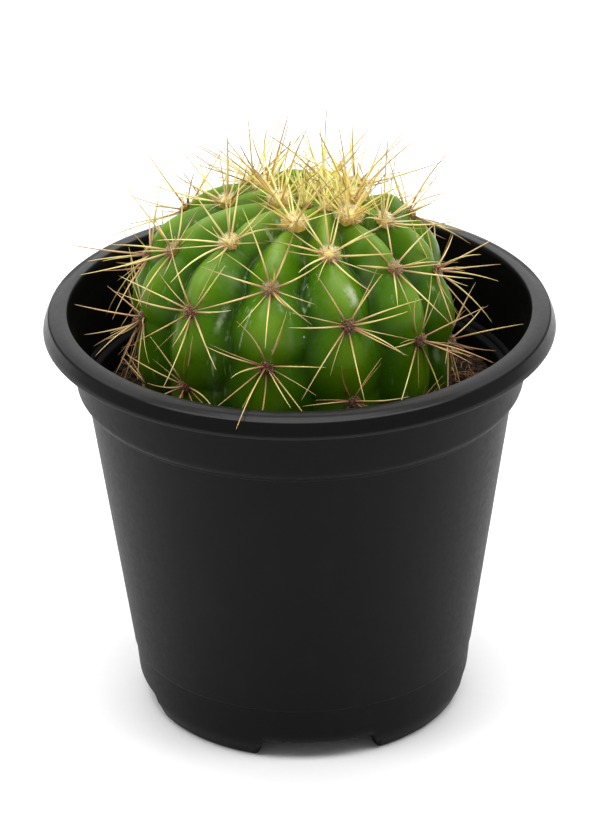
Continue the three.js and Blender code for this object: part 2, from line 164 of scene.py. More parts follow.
@dataclass
class Tubes:
    """Closed tubes: rings of points, each tube shut by a fan of triangles at both ends.

    Attributes:
        rings: Places, shaped (tubes, rings, sides, 3), in millimetres.
        first: The point that closes each tube before its first ring, shaped (tubes, 3).
        last: The point that closes each tube after its last ring, shaped (tubes, 3).
        fields: Named values for the shader, each shaped (tubes, rings, sides).
    """

    rings: np.ndarray
    first: np.ndarray
    last: np.ndarray
    fields: dict[str, np.ndarray] = field(default_factory=dict)

    def vertices(self) -> np.ndarray:
        """All places as one list: for each tube its rings, then its first and last point.

        Returns:
            The places, shaped (vertices, 3).
        """
        count = len(self.rings)
        parts = [self.rings.reshape(count, -1, 3), self.first[:, None], self.last[:, None]]
        return np.concatenate(parts, 1).reshape(-1, 3)

    def values(self, name: str) -> np.ndarray:
        """A field in the order of vertices(); an end point takes its ring's mean.

        Args:
            name: The field's name.

        Returns:
            One value for each vertex.
        """
        rows = self.fields[name]
        count = len(rows)
        ends = [rows[:, 0].mean(-1)[:, None], rows[:, -1].mean(-1)[:, None]]
        return np.concatenate([rows.reshape(count, -1), *ends], 1).reshape(-1)

    def faces(self) -> list[list[int]]:
        """Quads between neighbouring rings and a fan at each end, turned to face outwards.

        The volume, as the sum of the triple products of every triangle's corners, tells which way
        they face.

        Returns:
            The corners of every face, as numbers of vertices().
        """
        count, rows, sides = self.rings.shape[:3]
        here = np.arange(sides)
        beside = (here + 1) % sides
        row = np.arange(rows - 1)[:, None] * sides
        quads = np.stack([row + here, row + beside, row + sides + beside, row + sides + here], -1)
        end = (rows - 1) * sides
        fans = np.concatenate([
            np.stack([np.full(sides, rows * sides), beside, here], -1),
            np.stack([np.full(sides, rows * sides + 1), end + here, end + beside], -1),
        ])
        quads = quads.reshape(-1, 4)
        points = self.vertices()
        solid = np.concatenate([quads[:, :3], quads[:, [0, 2, 3]], fans])
        a, b, c = (points[solid[:, i]] for i in range(3))
        if np.einsum("ij,ij->i", a, np.cross(b, c)).sum() < 0.0:
            quads = quads[:, ::-1]
            fans = fans[:, ::-1]
        starts = np.arange(count)[:, None, None] * (rows * sides + 2)
        return (quads + starts).reshape(-1, 4).tolist() + (fans + starts).reshape(-1, 3).tolist()


def link_object(name: str, data: bpy.types.ID) -> bpy.types.Object:
    """A new object in the scene.

    Args:
        name: The object's name.
        data: The mesh, light or camera that it shows.

    Returns:
        The object.
    """
    made = bpy.data.objects.new(name, data)
    bpy.context.scene.collection.objects.link(made)
    return made


def make_object(name: str, parts: list[Tubes], material: bpy.types.Material) -> bpy.types.Object:
    """One Blender object of several sets of tubes, in metres, with its fields as point attributes.

    Args:
        name: The object's name.
        parts: The sets of tubes, which all have the same fields.
        material: The finish.

    Returns:
        The new object, with smooth shading.
    """
    vertices: list[np.ndarray] = []
    faces: list[list[int]] = []
    start = 0
    for part in parts:
        points = part.vertices()
        vertices.append(points)
        faces.extend([corner + start for corner in face] for face in part.faces())
        start += len(points)
    mesh = bpy.data.meshes.new(name)
    mesh.from_pydata((np.concatenate(vertices) * MM).tolist(), [], faces)
    for label in parts[0].fields:
        layer = mesh.attributes.new(label, "FLOAT", "POINT")
        layer.data.foreach_set("value", np.concatenate([part.values(label) for part in parts]))
    mesh.shade_smooth()
    mesh.materials.append(material)
    return link_object(name, mesh)


def dress(piece: bpy.types.Object, slot: Slot, *nodes: str) -> bpy.types.Object:
    """Makes a piece ride on the body and hides the construction nodes that it stands for.

    Args:
        piece: The finished piece.
        slot: Its material slot in the record; not used.
        nodes: Names of the construction nodes that it replaces, if any.

    Returns:
        The same piece.
    """
    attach(piece, ROOT_BODY)
    if nodes:
        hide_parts(*nodes)
    LOG.info("%s: %d faces", piece.name, len(piece.data.polygons))
    return piece


def pointed(right: np.ndarray, up: np.ndarray, back: np.ndarray, place: np.ndarray) -> Matrix:
    """The matrix that has an object's three axes and its place as columns."""
    rows = np.stack([right, up, back, place], 1)
    return Matrix([*rows.tolist(), [0.0, 0.0, 0.0, 1.0]])


@dataclass(frozen=True)
class Pattern:
    """Noise cut to the share of the surface that it covers.

    Attributes:
        size: Its blobs' size in millimetres.
        detail: Octaves of finer noise.
        low: Noise below this covers nothing.
        high: Noise above this covers all.
        run: A factor on the height's coordinate; under 1 stretches the blobs up and down.
    """

    size: float
    detail: float
    low: float = 0.3
    high: float = 0.7
    run: float = 1.0


@dataclass(frozen=True)
class Coat:
    """A colour that comes in along a scale.

    Attributes:
        colour: The colour, linear.
        low: The value where it begins.
        high: The value where it is there in full; it may be the lower one of the two.
        share: How much of what is under it is covered there.
    """

    colour: Colour
    low: float
    high: float
    share: float = 1.0


@dataclass(frozen=True)
class Specks:
    """Small round marks.

    Attributes:
        size: About how far apart they are, in millimetres.
        outer: Their radius, as a share of size.
        inner: The radius inside which they show in full, as a share of size.
        share: How much of the skin they cover there.
    """

    size: float
    outer: float
    inner: float
    share: float


@dataclass(frozen=True)
class Grain:
    """Noise that bumps a surface.

    Attributes:
        size: Its bumps' size in millimetres.
        detail: Octaves of finer bumps.
        depth: Their height in millimetres.
    """

    size: float
    detail: float
    depth: float


class NodeWeb:
    """A new material's node tree, with short calls for the nodes that the finishes share."""

    def __init__(self, name: str) -> None:
        """Starts a material that holds one principled shader.

        Args:
            name: The material's name.
        """
        self.material = bpy.data.materials.new(name)
        self.material.use_nodes = True
        self.tree = self.material.node_tree
        self.shader = self.tree.nodes["Principled BSDF"]

    def give(self, target: Socket, value: Socket | float | Triple) -> None:
        """Links an output to an input, or sets a number, a vector or a colour on it.

        Args:
            target: The input.
            value: An output, or the plain value.
        """
        if isinstance(value, Socket):
            self.tree.links.new(value, target)
        else:
            target.default_value = (*value, 1.0) if target.type == "RGBA" else value

    def node(
        self,
        kind: str,
        output: str | int,
        inputs: dict[str | int, Socket | float | Triple],
        **settings: str,
    ) -> Socket:
        """Adds a node, sets it up and links its inputs.

        Args:
            kind: The node's type, without its leading ShaderNode.
            output: Name or number of the output that is wanted.
            inputs: An output or a plain value for each input, by name or number.
            settings: The node's own properties.

        Returns:
            The output that is wanted.
        """
        made = self.tree.nodes.new("ShaderNode" + kind)
        for key, value in settings.items():
            setattr(made, key, value)
        for key, value in inputs.items():
            self.give(made.inputs[key], value)
        return made.outputs[output]

    def set(self, **values: float | Triple) -> None:
        """Sets uniform values on the shader's own sockets; an underscore stands for a space."""
        for key, value in values.items():
            self.shader.inputs[key.replace("_", " ")].default_value = value

    def feed(self, name: str, output: Socket) -> None:
        """Links an output to one of the shader's sockets."""
        self.give(self.shader.inputs[name], output)

    def field(self, name: str) -> Socket:
        """The value of a point attribute."""
        return self.node("Attribute", "Fac", {}, attribute_name=name)

    def place(self, scale: Triple = (1.0, 1.0, 1.0)) -> Socket:
        """Object coordinates times a scale for each axis."""
        coordinates = self.node("TexCoord", "Object", {})
        return self.node("Mapping", "Vector", {"Vector": coordinates, "Scale": scale})

    def height(self) -> Socket:
        """The Z coordinate in metres."""
        return self.node("SeparateXYZ", "Z", {"Vector": self.place()})

    def noise(self, size: float, detail: float, run: float = 1.0) -> Socket:
        """Noise from 0 to 1, with size, detail and run as in Pattern; a Noise holds the first two."""
        inputs = {"Vector": self.place((1.0, 1.0, run)), "Scale": 1.0 / (size * MM), "Detail": detail}
        return self.node("TexNoise", "Fac", inputs)

    def dots(self, size: float) -> Socket:
        """Distance to the nearest of points scattered about size millimetres apart."""
        return self.node("TexVoronoi", "Distance", {"Vector": self.place(), "Scale": 1.0 / (size * MM)})

    def remap(self, value: Socket, low: float, high: float, bottom: float = 0.0, top: float = 1.0) -> Socket:
        """A value stretched from low..high to bottom..top and held there."""
        inputs = {"Value": value, "From Min": low, "From Max": high, "To Min": bottom, "To Max": top}
        return self.node("MapRange", "Result", inputs, interpolation_type="SMOOTHSTEP")

    def cover(self, pattern: Pattern, bottom: float = 0.0, top: float = 1.0) -> Socket:
        """A pattern's share of the surface, stretched to bottom..top."""
        noise = self.noise(pattern.size, pattern.detail, pattern.run)
        return self.remap(noise, pattern.low, pattern.high, bottom, top)

    def times(self, a: Socket, b: Socket | float) -> Socket:
        """The product of two values."""
        return self.node("Math", 0, {0: a, 1: b}, operation="MULTIPLY")

    def plus(self, a: Socket, b: Socket | float) -> Socket:
        """The sum of two values."""
        return self.node("Math", 0, {0: a, 1: b}, operation="ADD")

    def from_line(self, start: np.ndarray, direction: np.ndarray) -> Socket:
        """Distance in metres from a line: the length of the offset's cross product with its direction.

        Args:
            start: A point on the line, in metres.
            direction: The line's direction, of length 1.

        Returns:
            The distance.
        """
        offset = self.node("VectorMath", "Vector", {0: self.place(), 1: tuple(start)}, operation="SUBTRACT")
        inputs = {0: offset, 1: tuple(direction)}
        cross = self.node("VectorMath", "Vector", inputs, operation="CROSS_PRODUCT")
        return self.node("VectorMath", "Value", {0: cross}, operation="LENGTH")

    def coat(self, scale: Socket, coat: Coat) -> tuple[Socket, Colour]:
        """How much a coat covers at each value on its scale, and its colour."""
        return self.remap(scale, coat.low, coat.high, 0.0, coat.share), coat.colour

    def coats(self, colour: Socket | Colour, *layers: tuple[Socket, Socket | Colour]) -> Socket:
        """Colours laid over one another.

        Args:
            colour: The lowest one, linear.
            layers: Pairs of the share that is covered, from 0 to 1, and the colour that covers it.

        Returns:
            The mixed colour.
        """
        for share, over in layers:
            colour = self.node("Mix", 2, {"Factor": share, 6: colour, 7: over}, data_type="RGBA")
        return colour

    def relief(self, grains: tuple[Grain, ...]) -> None:
        """Bumps the surface by one grain after another.

        Args:
            grains: The grains, the finest first.
        """
        before: dict[str, Socket] = {}
        for grain in grains:
            height = self.noise(grain.size, grain.detail)
            inputs = {"Distance": grain.depth * MM, "Height": height, **before}
            before = {"Normal": self.node("Bump", "Normal", inputs)}
        self.feed("Normal", before["Normal"])


@dataclass(frozen=True)
class PotPlasticFinish:
    """Matt black moulded plastic; the rim's face is painted darker as shade under a thin gloss, and its top
    is painted greyer as a highlight.
    """

    black: Colour = (0.0025, 0.0025, 0.0026)
    rubbed: Colour = (0.0038, 0.0038, 0.0037)
    # Painted shade for the rim's outer face.
    painted_fascia_shade: Colour = (0.0006, 0.0006, 0.0006)
    # Painted highlight for the rim's top.
    rim_top_highlight: Colour = (0.0045, 0.0045, 0.0044)
    rim_from: float = 95.2
    rim_fade: float = 1.0
    rim_top_highlight_from: float = 99.7
    rim_top_highlight_fade: float = 0.3
    rim_top_highlight_edge: Noise = (5.0, 5.0)
    rim_polish: float = 0.25
    polish_roughness: float = 0.13
    gloss: float = 0.085
    wear: Pattern = Pattern(7.0, 6.0, 0.52, 0.8, 0.4)
    mottle: Pattern = Pattern(1.4, 3.0)
    roughness: Range = (0.44, 0.5)
    grains: tuple[Grain, ...] = (Grain(0.55, 2.0, 0.012), Grain(18.0, 2.0, 0.015))

    def material(self) -> bpy.types.Material:
        """Black with faint cloudy wear; the rim's face gets painted shade, and its top a painted highlight
        whose edge is a little uneven.

        Returns:
            The material.
        """
        web = NodeWeb("pot_plastic")
        # Painted highlight on the rim's top, with a slightly uneven lower edge.
        uneven = web.times(web.noise(*self.rim_top_highlight_edge), self.rim_top_highlight_fade * MM)
        rim_top_highlight_to = self.rim_top_highlight_from + self.rim_top_highlight_fade
        top = web.remap(web.plus(web.height(), uneven), self.rim_top_highlight_from * MM, rim_top_highlight_to * MM)
        # Painted shade on the rim's outer face, which also carries the thin gloss.
        face = web.remap(web.height(), self.rim_from * MM, (self.rim_from + self.rim_fade) * MM)
        layers = [(web.cover(self.wear), self.rubbed), (face, self.painted_fascia_shade), (top, self.rim_top_highlight)]
        web.feed("Base Color", web.coats(self.black, *layers))
        web.feed("Roughness", web.cover(self.mottle, *self.roughness))
        web.feed("Coat Weight", web.times(face, self.rim_polish))
        web.set(Specular_IOR_Level=self.gloss, Coat_Roughness=self.polish_roughness)
        web.relief(self.grains)
        return web.material


@dataclass(frozen=True)
class Scar:
    """A pale mark on the skin, about a straight line.

    Attributes:
        start: Its upper end.
        end: Its lower end.
        width: How far it reaches from the line.
        strength: How pale it is, from 0 to 1.
    """

    start: Triple
    end: Triple
    width: float
    strength: float


@dataclass(frozen=True)
class CactusSkinFinish:
    """Waxy green skin: pale on the ribs as painted highlight, deep green in the grooves as painted shade,
    rubbed and speckled.

    Two point attributes steer it: crest is 1 on a rib and 0 in a groove, and down is 0 at the crown
    and 1 at the soil.
    """

    # Painted shade and light: the greens run from the darkest in the grooves (painted shade) through the
    # flanks to the palest on the crests (painted highlight).
    groove: Colour = (0.013, 0.044, 0.0003)
    flank: Coat = Coat((0.045, 0.127, 0.0003), 0.02, 0.5)
    crest: Coat = Coat((0.115, 0.222, 0.001), 0.6, 1.4)
    # A painted highlight on the tops of the crests, fading towards the soil.
    crest_highlight: Coat = Coat((0.25, 0.37, 0.12), 0.95, 1.3)
    crest_highlight_share: float = 0.4
    lit_until: Range = (0.7, 0.3)
    young: Coat = Coat((0.2, 0.3, 0.03), 0.34, 0.0, 0.5)
    # A deeper, darker green towards the soil: the hue is the skin's own, and the darkening is painted shade
    # from the pot.
    deep: Coat = Coat((0.05, 0.135, 0.0015), 0.4, 0.85, 0.45)
    corky: Coat = Coat((0.09, 0.075, 0.03), 0.9, 1.0, 0.7)
    wax: Colour = (0.4, 0.46, 0.3)
    bloom: Colour = (0.17, 0.22, 0.1)
    bloom_share: float = 0.25
    scuff_share: float = 0.5
    clouds: Noise = (6.0, 4.0)
    cloudiness: float = 0.4
    # Painted shade on the lower skin inside the pot.
    shade_by_crest: Ramp = (1.0, 0.3, 0.35, 0.8)
    shade_by_height: Range = (0.45, 0.95)
    scuffs_by_crest: Range = (0.95, 0.5)
    smears: Pattern = Pattern(5.5, 4.0, 0.55, 0.75, 0.4)
    streaks: Pattern = Pattern(1.3, 6.0, 0.55, 0.72, 0.14)
    patches: Pattern = Pattern(8.0, 3.0, 0.5, 0.64, 0.6)
    mottle: Pattern = Pattern(2.5, 4.0)
    roughness: Range = (0.26, 0.4)
    grains: tuple[Grain, ...] = (Grain(0.6, 3.0, 0.015), Grain(4.0, 3.0, 0.1))
    specks: tuple[Specks, ...] = (Specks(1.3, 0.13, 0.05, 0.14), Specks(7.5, 0.05, 0.03, 0.75))
    scar_edge: Range = (1.35, 0.65)
    scar_grain: Noise = (0.9, 4.0)
    scar_raggedness: float = 1.1
    scar_fade: float = 0.4
    scars: tuple[Scar, ...] = (
        # The first scar is a pale waxy patch on a rib, made bright enough to serve as a painted highlight.
        Scar((10.9, -29.1, 120.2), (12.9, -30.8, 114.2), 2.5, 0.95),
        Scar((-10.2, -30.7, 116.8), (-12.2, -32.9, 110.6), 0.6, 0.9),
        Scar((-11.8, -32.7, 112.8), (-13.9, -32.5, 104.8), 0.6, 0.9),
        Scar((-16.1, -26.3, 114.5), (-19.2, -29.3, 107.0), 1.5, 0.4),
        Scar((-27.6, -24.0, 109.5), (-29.0, -25.2, 100.5), 1.7, 0.3),
        Scar((31.2, -12.9, 98.0), (31.9, -12.6, 90.5), 1.8, 0.3),
    )

    def material(self) -> bpy.types.Material:
        """Colours follow how near the crest, the crown and the soil a point lies, with shade painted into the
        grooves and highlight onto the ribs.

        Returns:
            The material.
        """
        web = NodeWeb("cactus_skin")
        crest = web.field("crest")
        down = web.field("down")
        clouded = web.plus(crest, web.times(web.noise(*self.clouds), self.cloudiness))
        # Painted highlight on the crests' tops.
        highlit, crest_highlight = web.coat(clouded, self.crest_highlight)
        highlit = web.times(web.times(highlit, web.remap(down, *self.lit_until)), self.crest_highlight_share)
        # Painted shade in the grooves and near the soil, painted highlight on the crests.
        greens = [
            web.coat(crest, self.flank),
            web.coat(clouded, self.crest),
            (highlit, crest_highlight),
            web.coat(down, self.young),
            web.coat(down, self.deep),
            (self.shaded(web, crest, down), self.groove),
            web.coat(down, self.corky),
        ]
        marks = [
            (web.times(web.cover(self.smears), self.bloom_share), self.bloom),
            (self.scuffed(web, crest), self.wax),
            *((self.scarred(web, scar), self.wax) for scar in self.scars),
            *((self.specked(web, specks), self.wax) for specks in self.specks),
        ]
        web.feed("Base Color", web.coats(self.groove, *greens, *marks))
        web.feed("Roughness", web.cover(self.mottle, *self.roughness))
        web.set(
            Subsurface_Weight=0.1,
            Subsurface_Radius=(0.9, 1.5, 0.15),
            Subsurface_Scale=1.0 * MM,
            Specular_IOR_Level=0.15,
        )
        web.relief(self.grains)
        return web.material

    def shaded(self, web: NodeWeb, crest: Socket, down: Socket) -> Socket:
        """How much painted shade darkens the skin near the soil, inside the pot, most of all off the crests.
        """
        off_crest = web.remap(crest, *self.shade_by_crest)
        return web.times(web.remap(down, *self.shade_by_height), off_crest)

    def scuffed(self, web: NodeWeb, crest: Socket) -> Socket:
        """How much of the skin is scratched pale: short streaks, in patches and off the crests."""
        marks = web.times(web.cover(self.streaks), web.cover(self.patches))
        return web.times(web.times(marks, web.remap(crest, *self.scuffs_by_crest)), self.scuff_share)

    def specked(self, web: NodeWeb, specks: Specks) -> Socket:
        """How much one kind of speck covers the skin."""
        near = web.remap(web.dots(specks.size), specks.outer, specks.inner)
        return web.times(near, specks.share)

    def scarred(self, web: NodeWeb, scar: Scar) -> Socket:
        """How much one scar covers the skin: it fades away from its line and past its ends.

        Args:
            web: The material's nodes.
            scar: The scar.

        Returns:
            The share from 0 to 1.
        """
        start, end = np.array(scar.start) * MM, np.array(scar.end) * MM
        width = scar.width * MM
        outer, inner = (edge * width for edge in self.scar_edge)
        ragged = web.times(web.noise(*self.scar_grain), self.scar_raggedness * width)
        away = web.plus(web.from_line(start, unit(end - start)), ragged)
        beside = web.remap(away, outer, inner, 0.0, scar.strength)
        fade = self.scar_fade * (start[2] - end[2])
        above = web.remap(web.height(), start[2], start[2] - fade)
        below = web.remap(web.height(), end[2], end[2] + fade)
        return web.times(beside, web.times(above, below))


@dataclass(frozen=True)
class WoolFinish:
    """Dense felted wool: golden when young, browner below, and grey-brown on old areoles."""

    young: Colour = (1.0, 0.6, 0.09)
    pale: Coat = Coat((1.0, 0.82, 0.34), 0.35, 1.3)
    under: Coat = Coat((0.5, 0.27, 0.14), 0.6, 1.35)
    old: Colour = (0.13, 0.045, 0.024)
    old_pale: Coat = Coat((0.55, 0.28, 0.15), 0.75, 1.6)
    browning_ages: Range = (0.05, 0.35)
    wearing_ages: Range = (0.2, 0.6)
    tufts: Noise = (0.6, 4.0)
    mottling: float = 0.7
    grains: tuple[Grain, ...] = (Grain(0.25, 3.0, 0.12),)

    def material(self) -> bpy.types.Material:
        """Colour by age, by height on the dome and by each hair's tone, matt, with some sheen.

        Returns:
            The material.
        """
        web = NodeWeb("areole_wool")
        age = web.field("age")
        mottle = web.times(web.noise(*self.tufts), self.mottling)
        pale = web.coat(web.plus(web.field("lift"), mottle), self.pale)
        low_side, brown = web.coat(web.plus(web.field("below"), mottle), self.under)
        browned = web.times(low_side, web.remap(age, *self.browning_ages))
        fresh = web.coats(self.young, pale, (browned, brown))
        worn = web.coats(self.old, web.coat(web.plus(web.field("tone"), mottle), self.old_pale))
        web.feed("Base Color", web.coats(fresh, (web.remap(age, *self.wearing_ages), worn)))
        web.set(
            Roughness=0.9,
            Sheen_Weight=0.08,
            Sheen_Roughness=0.5,
            Specular_IOR_Level=0.1,
            Subsurface_Weight=0.8,
            Subsurface_Radius=(1.0, 0.75, 0.35),
            Subsurface_Scale=1.2 * MM,
        )
        web.relief(self.grains)
        return web.material


@dataclass(frozen=True)
class SpineFinish:
    """Horn-like spines: golden to straw yellow, brown at the base, and some with grey tips."""

    fresh: Colour = (0.93, 0.87, 0.36)
    gold: Coat = Coat((0.74, 0.56, 0.15), 0.0, 0.08)
    straw: Coat = Coat((0.74, 0.62, 0.23), 0.1, 0.3)
    tan: Coat = Coat((0.52, 0.29, 0.14), 0.8, 1.5)
    base: Coat = Coat((0.3, 0.12, 0.06), 0.5, 0.05)
    tip: Coat = Coat((0.17, 0.09, 0.05), 0.35, 0.95)
    tone_in_wear: float = 0.6
    lemon_by_tone: Range = (0.35, 0.1)
    lemon_by_age: Range = (0.5, 0.1)
    base_by_age: Ramp = (0.05, 0.5, 0.1, 1.0)
    tip_by_tone: Ramp = (0.2, 0.8, 0.25, 1.0)
    tip_when_new: Ramp = (0.0, 0.06, 0.15, 1.0)
    tip_when_old: Ramp = (0.9, 0.3, 0.35, 1.0)
    mottle: Pattern = Pattern(0.5, 2.0)
    roughness: Range = (0.32, 0.5)
    grains: tuple[Grain, ...] = (Grain(0.25, 2.0, 0.02),)

    def material(self) -> bpy.types.Material:
        """Colour by age, by the distance along the spine and by each spine's own tone.

        Returns:
            The material.
        """
        web = NodeWeb("spines")
        age = web.field("age")
        along = web.field("along")
        tone = web.field("tone")
        worn = web.plus(age, web.times(tone, self.tone_in_wear))
        lemon = web.times(web.remap(tone, *self.lemon_by_tone), web.remap(age, *self.lemon_by_age))
        near_base, brown = web.coat(along, self.base)
        near_base = web.times(near_base, web.remap(age, *self.base_by_age))
        near_tip, dark = web.coat(along, self.tip)
        for scale, ramp in ((tone, self.tip_by_tone), (age, self.tip_when_new), (age, self.tip_when_old)):
            near_tip = web.times(near_tip, web.remap(scale, *ramp))
        layers = [
            web.coat(age, self.gold),
            web.coat(age, self.straw),
            (lemon, self.fresh),
            web.coat(worn, self.tan),
            (near_base, brown),
            (near_tip, dark),
        ]
        web.feed("Base Color", web.coats(self.fresh, *layers))
        web.feed("Roughness", web.cover(self.mottle, *self.roughness))
        web.set(Subsurface_Weight=0.3, Subsurface_Radius=(0.9, 0.6, 0.2), Subsurface_Scale=0.5 * MM)
        web.relief(self.grains)
        return web.material


@dataclass(frozen=True)
class SoilFinish:
    """Dark crumbly potting mix, or the brown fibres in it."""

    name: str
    dark: Colour
    light: Colour
    lightening: Range = (0.3, 1.4)
    clumps: Noise = (0.9, 5.0)
    mottling: float = 0.8
    mottle: Pattern = Pattern(1.5, 3.0)
    roughness: Range = (0.8, 0.98)
    grains: tuple[Grain, ...] = (Grain(0.5, 4.0, 0.2),)

    def material(self) -> bpy.types.Material:
        """Colour by each crumb's tone and a fine mottle, fully matt.

        Returns:
            The material.
        """
        web = NodeWeb(self.name)
        mix = web.plus(web.field("tone"), web.times(web.noise(*self.clumps), self.mottling))
        web.feed("Base Color", web.coats(self.dark, (web.remap(mix, *self.lightening), self.light)))
        web.feed("Roughness", web.cover(self.mottle, *self.roughness))
        web.set(Specular_IOR_Level=0.2)
        web.relief(self.grains)
        return web.material


@dataclass(frozen=True)
class FloorFinish:
    """A pale, matt photographic floor."""

    white: Colour = (0.94, 0.94, 0.94)
    tooth: Colour = (0.92, 0.92, 0.92)
    grit: Noise = (2.0, 3.0)

    def material(self) -> bpy.types.Material:
        """Nearly white paper with an even faint tooth.

        Returns:
            The material.
        """
        web = NodeWeb("pale_floor")
        web.feed("Base Color", web.coats(self.white, (web.noise(*self.grit), self.tooth)))
        web.set(Roughness=0.85, Specular_IOR_Level=0.1)
        return web.material


@dataclass
class NurseryPot:
    """A thin-walled round pot with a rolled rim, a collar, a foot with four arches and drain holes."""

    height: float = 100.7
    rim_radius: float = 60.0
    rim_drop: float = 4.7
    rim_inner_radius: float = 54.1
    shoulder_radius: float = 58.75
    shoulder_drop: float = 0.9
    collar_top_radius: float = 54.0
    collar_edge_radius: float = 52.6
    collar_edge_z: float = 82.3
    wall_top_radius: float = 50.25
    seam_z: float = 14.4
    seam_radius: float = 40.8
    seam_step: float = 0.35
    foot_top_radius: float = 39.9
    foot_top_z: float = 8.0
    foot_taper: float = 0.6
    foot_radius: float = 36.3
    foot_inner_radius: float = 35.3
    foot_middle: float = 0.5
    foot_curve_z: Triple = (0.0, 0.4, 1.3)
    foot_curve_reach: Triple = (0.0, 0.8, 1.6)
    floor_underside_z: float = 4.2
    floor_radius: float = 37.9
    wall: float = 1.2
    lip_wall: float = 1.4
    corner_points: int = 7
    corner_share: float = 0.45
    support_reach: float = 1.1
    azimuth_step: float = 1.25
    notch_azimuth: float = 5.2
    notch_count: int = 4
    notch_height: float = 5.0
    notch_inner_height: float = 4.1
    notch_half_width: float = 14.6
    notch_top_half_width: float = 12.4
    notch_softness: float = 0.3
    notch_end_points: int = 9
    lip_rounding: float = 0.35
    squeezed_from: float = 1.0
    drain_count: int = 8
    drain_ring_radius: float = 26.0
    drain_radius: float = 4.0
    drain_side: float = 10.0
    bar_reach: float = 1.5
    sharp_angle: float = 50.0

    def inside(self, z: np.ndarray) -> np.ndarray:
        """The inside radius: one straight taper on the wall and a slighter one on the collar.

        Args:
            z: Heights.

        Returns:
            The radius at each height.
        """
        collar_floor = self.collar_edge_z - self.wall
        collar_height = self.height - self.rim_drop - self.collar_edge_z
        wall_slope = (self.wall_top_radius - self.seam_radius) / (self.collar_edge_z - self.seam_z)
        collar_slope = (self.collar_top_radius - self.collar_edge_radius) / collar_height
        on_wall = self.seam_radius - self.wall + (z - self.seam_z) * wall_slope
        on_collar = self.collar_edge_radius - self.wall + (z - collar_floor) * collar_slope
        return np.where(z < collar_floor, on_wall, on_collar)

    def corners(self) -> list[Triple]:
        """The section's corners, up the outside and down the inside.

        Returns:
            The radius, the height and the rounding of each.
        """
        lip_z = self.height - self.rim_drop
        under_rim_z = self.height - self.lip_wall
        ledge_z = self.collar_edge_z - self.wall
        floor_z = self.floor_underside_z + self.wall
        lip_inner = self.rim_radius - self.lip_wall
        shoulder_z = self.height - self.shoulder_drop
        return [
            (self.foot_inner_radius + self.wall, self.floor_underside_z, 0.2),
            (self.foot_inner_radius, 0.0, 0.15),
            (self.foot_radius + 1.05, 0.0, 1.2),
            (self.foot_top_radius - self.foot_taper, self.foot_top_z / 2.0, 1.5),
            (self.foot_top_radius, self.foot_top_z, 2.0),
            (self.seam_radius - self.seam_step, self.seam_z, 0.1),
            (self.seam_radius, self.seam_z + self.seam_step, 0.15),
            (self.wall_top_radius, self.collar_edge_z - 1.0, 0.9),
            (self.collar_edge_radius - 0.1, self.collar_edge_z - 0.15, 1.6),
            (self.collar_top_radius, lip_z - 0.2, 0.4),
            (self.collar_top_radius + 1.0, under_rim_z, 0.5),
            (self.shoulder_radius - 0.8, shoulder_z - self.lip_wall, 0.5),
            (lip_inner, lip_z, 0.4),
            (self.rim_radius, lip_z, 0.3),
            (self.rim_radius - 0.1, lip_z + 0.9, 0.8),
            (self.shoulder_radius, shoulder_z, 0.35),
            (self.rim_inner_radius + 2.2, self.height - 0.05, 1.8),
            (self.rim_inner_radius + 0.2, self.height, 0.5),
            (float(self.inside(np.array(lip_z))), lip_z - 0.5, 2.0),
            (self.collar_edge_radius - self.wall, ledge_z, 0.5),
            (float(self.inside(np.array(ledge_z - 1.0))), ledge_z - 0.9, 0.5),
            (self.seam_radius - self.wall, self.seam_z, 0.5),
            (self.floor_radius - 0.1, floor_z, 0.9),
        ]

    def beside(self, corner: np.ndarray, neighbour: np.ndarray, rounding: float) -> list[np.ndarray]:
        """Where a corner's curve ends towards a neighbour, and the support point just past that.

        Args:
            corner: The corner's radius and height.
            neighbour: The next corner's on that side.
            rounding: How far the curve reaches, unless the neighbour is too near.

        Returns:
            The two points.
        """
        side = neighbour - corner
        distance = float(np.linalg.norm(side))
        reach = min(rounding, self.corner_share * distance)
        return [corner + side / distance * reach, corner + side * (self.support_reach * reach / distance)]

    def section(self) -> np.ndarray:
        """Each corner rounded by a quadratic curve, with a support point on either side of it.

        Returns:
            Points of (radius, height), from the floor's underside round to its top.
        """
        corners = self.corners()
        start = (0.0, self.floor_underside_z)
        end = (0.0, self.floor_underside_z + self.wall)
        path = np.array([start] + [corner[:2] for corner in corners] + [end])
        steps = np.linspace(0.0, 1.0, self.corner_points)[:, None]
        pieces = []
        for i, (*_, rounding) in enumerate(corners, start=1):
            enter, support_in = self.beside(path[i], path[i - 1], rounding)
            leave, support_out = self.beside(path[i], path[i + 1], rounding)
            curve = (1 - steps) ** 2 * enter + 2 * steps * (1 - steps) * path[i] + steps**2 * leave
            pieces.append(np.concatenate([support_in[None], curve, support_out[None]]))
        return np.concatenate(pieces)

    def azimuths(self) -> np.ndarray:
        """Even steps round the pot, with finer ones at the ends of each arch.

        Returns:
            Azimuths in degrees, in rising order.
        """
        even = np.arange(0.0, 360.0, self.azimuth_step)
        middle = self.notch_azimuth + np.arange(self.notch_count)[:, None] * 360.0 / self.notch_count
        nearest = self.notch_top_half_width - self.notch_softness
        farthest = self.notch_half_width + self.notch_softness
        sideways = np.linspace(nearest, farthest, self.notch_end_points)
        reach = np.degrees(np.arcsin(sideways / (self.foot_radius + self.wall)))
        ends = np.concatenate([middle - reach, middle + reach]).reshape(-1) % 360.0
        return np.unique(np.round(np.concatenate([even, ends]), 4))

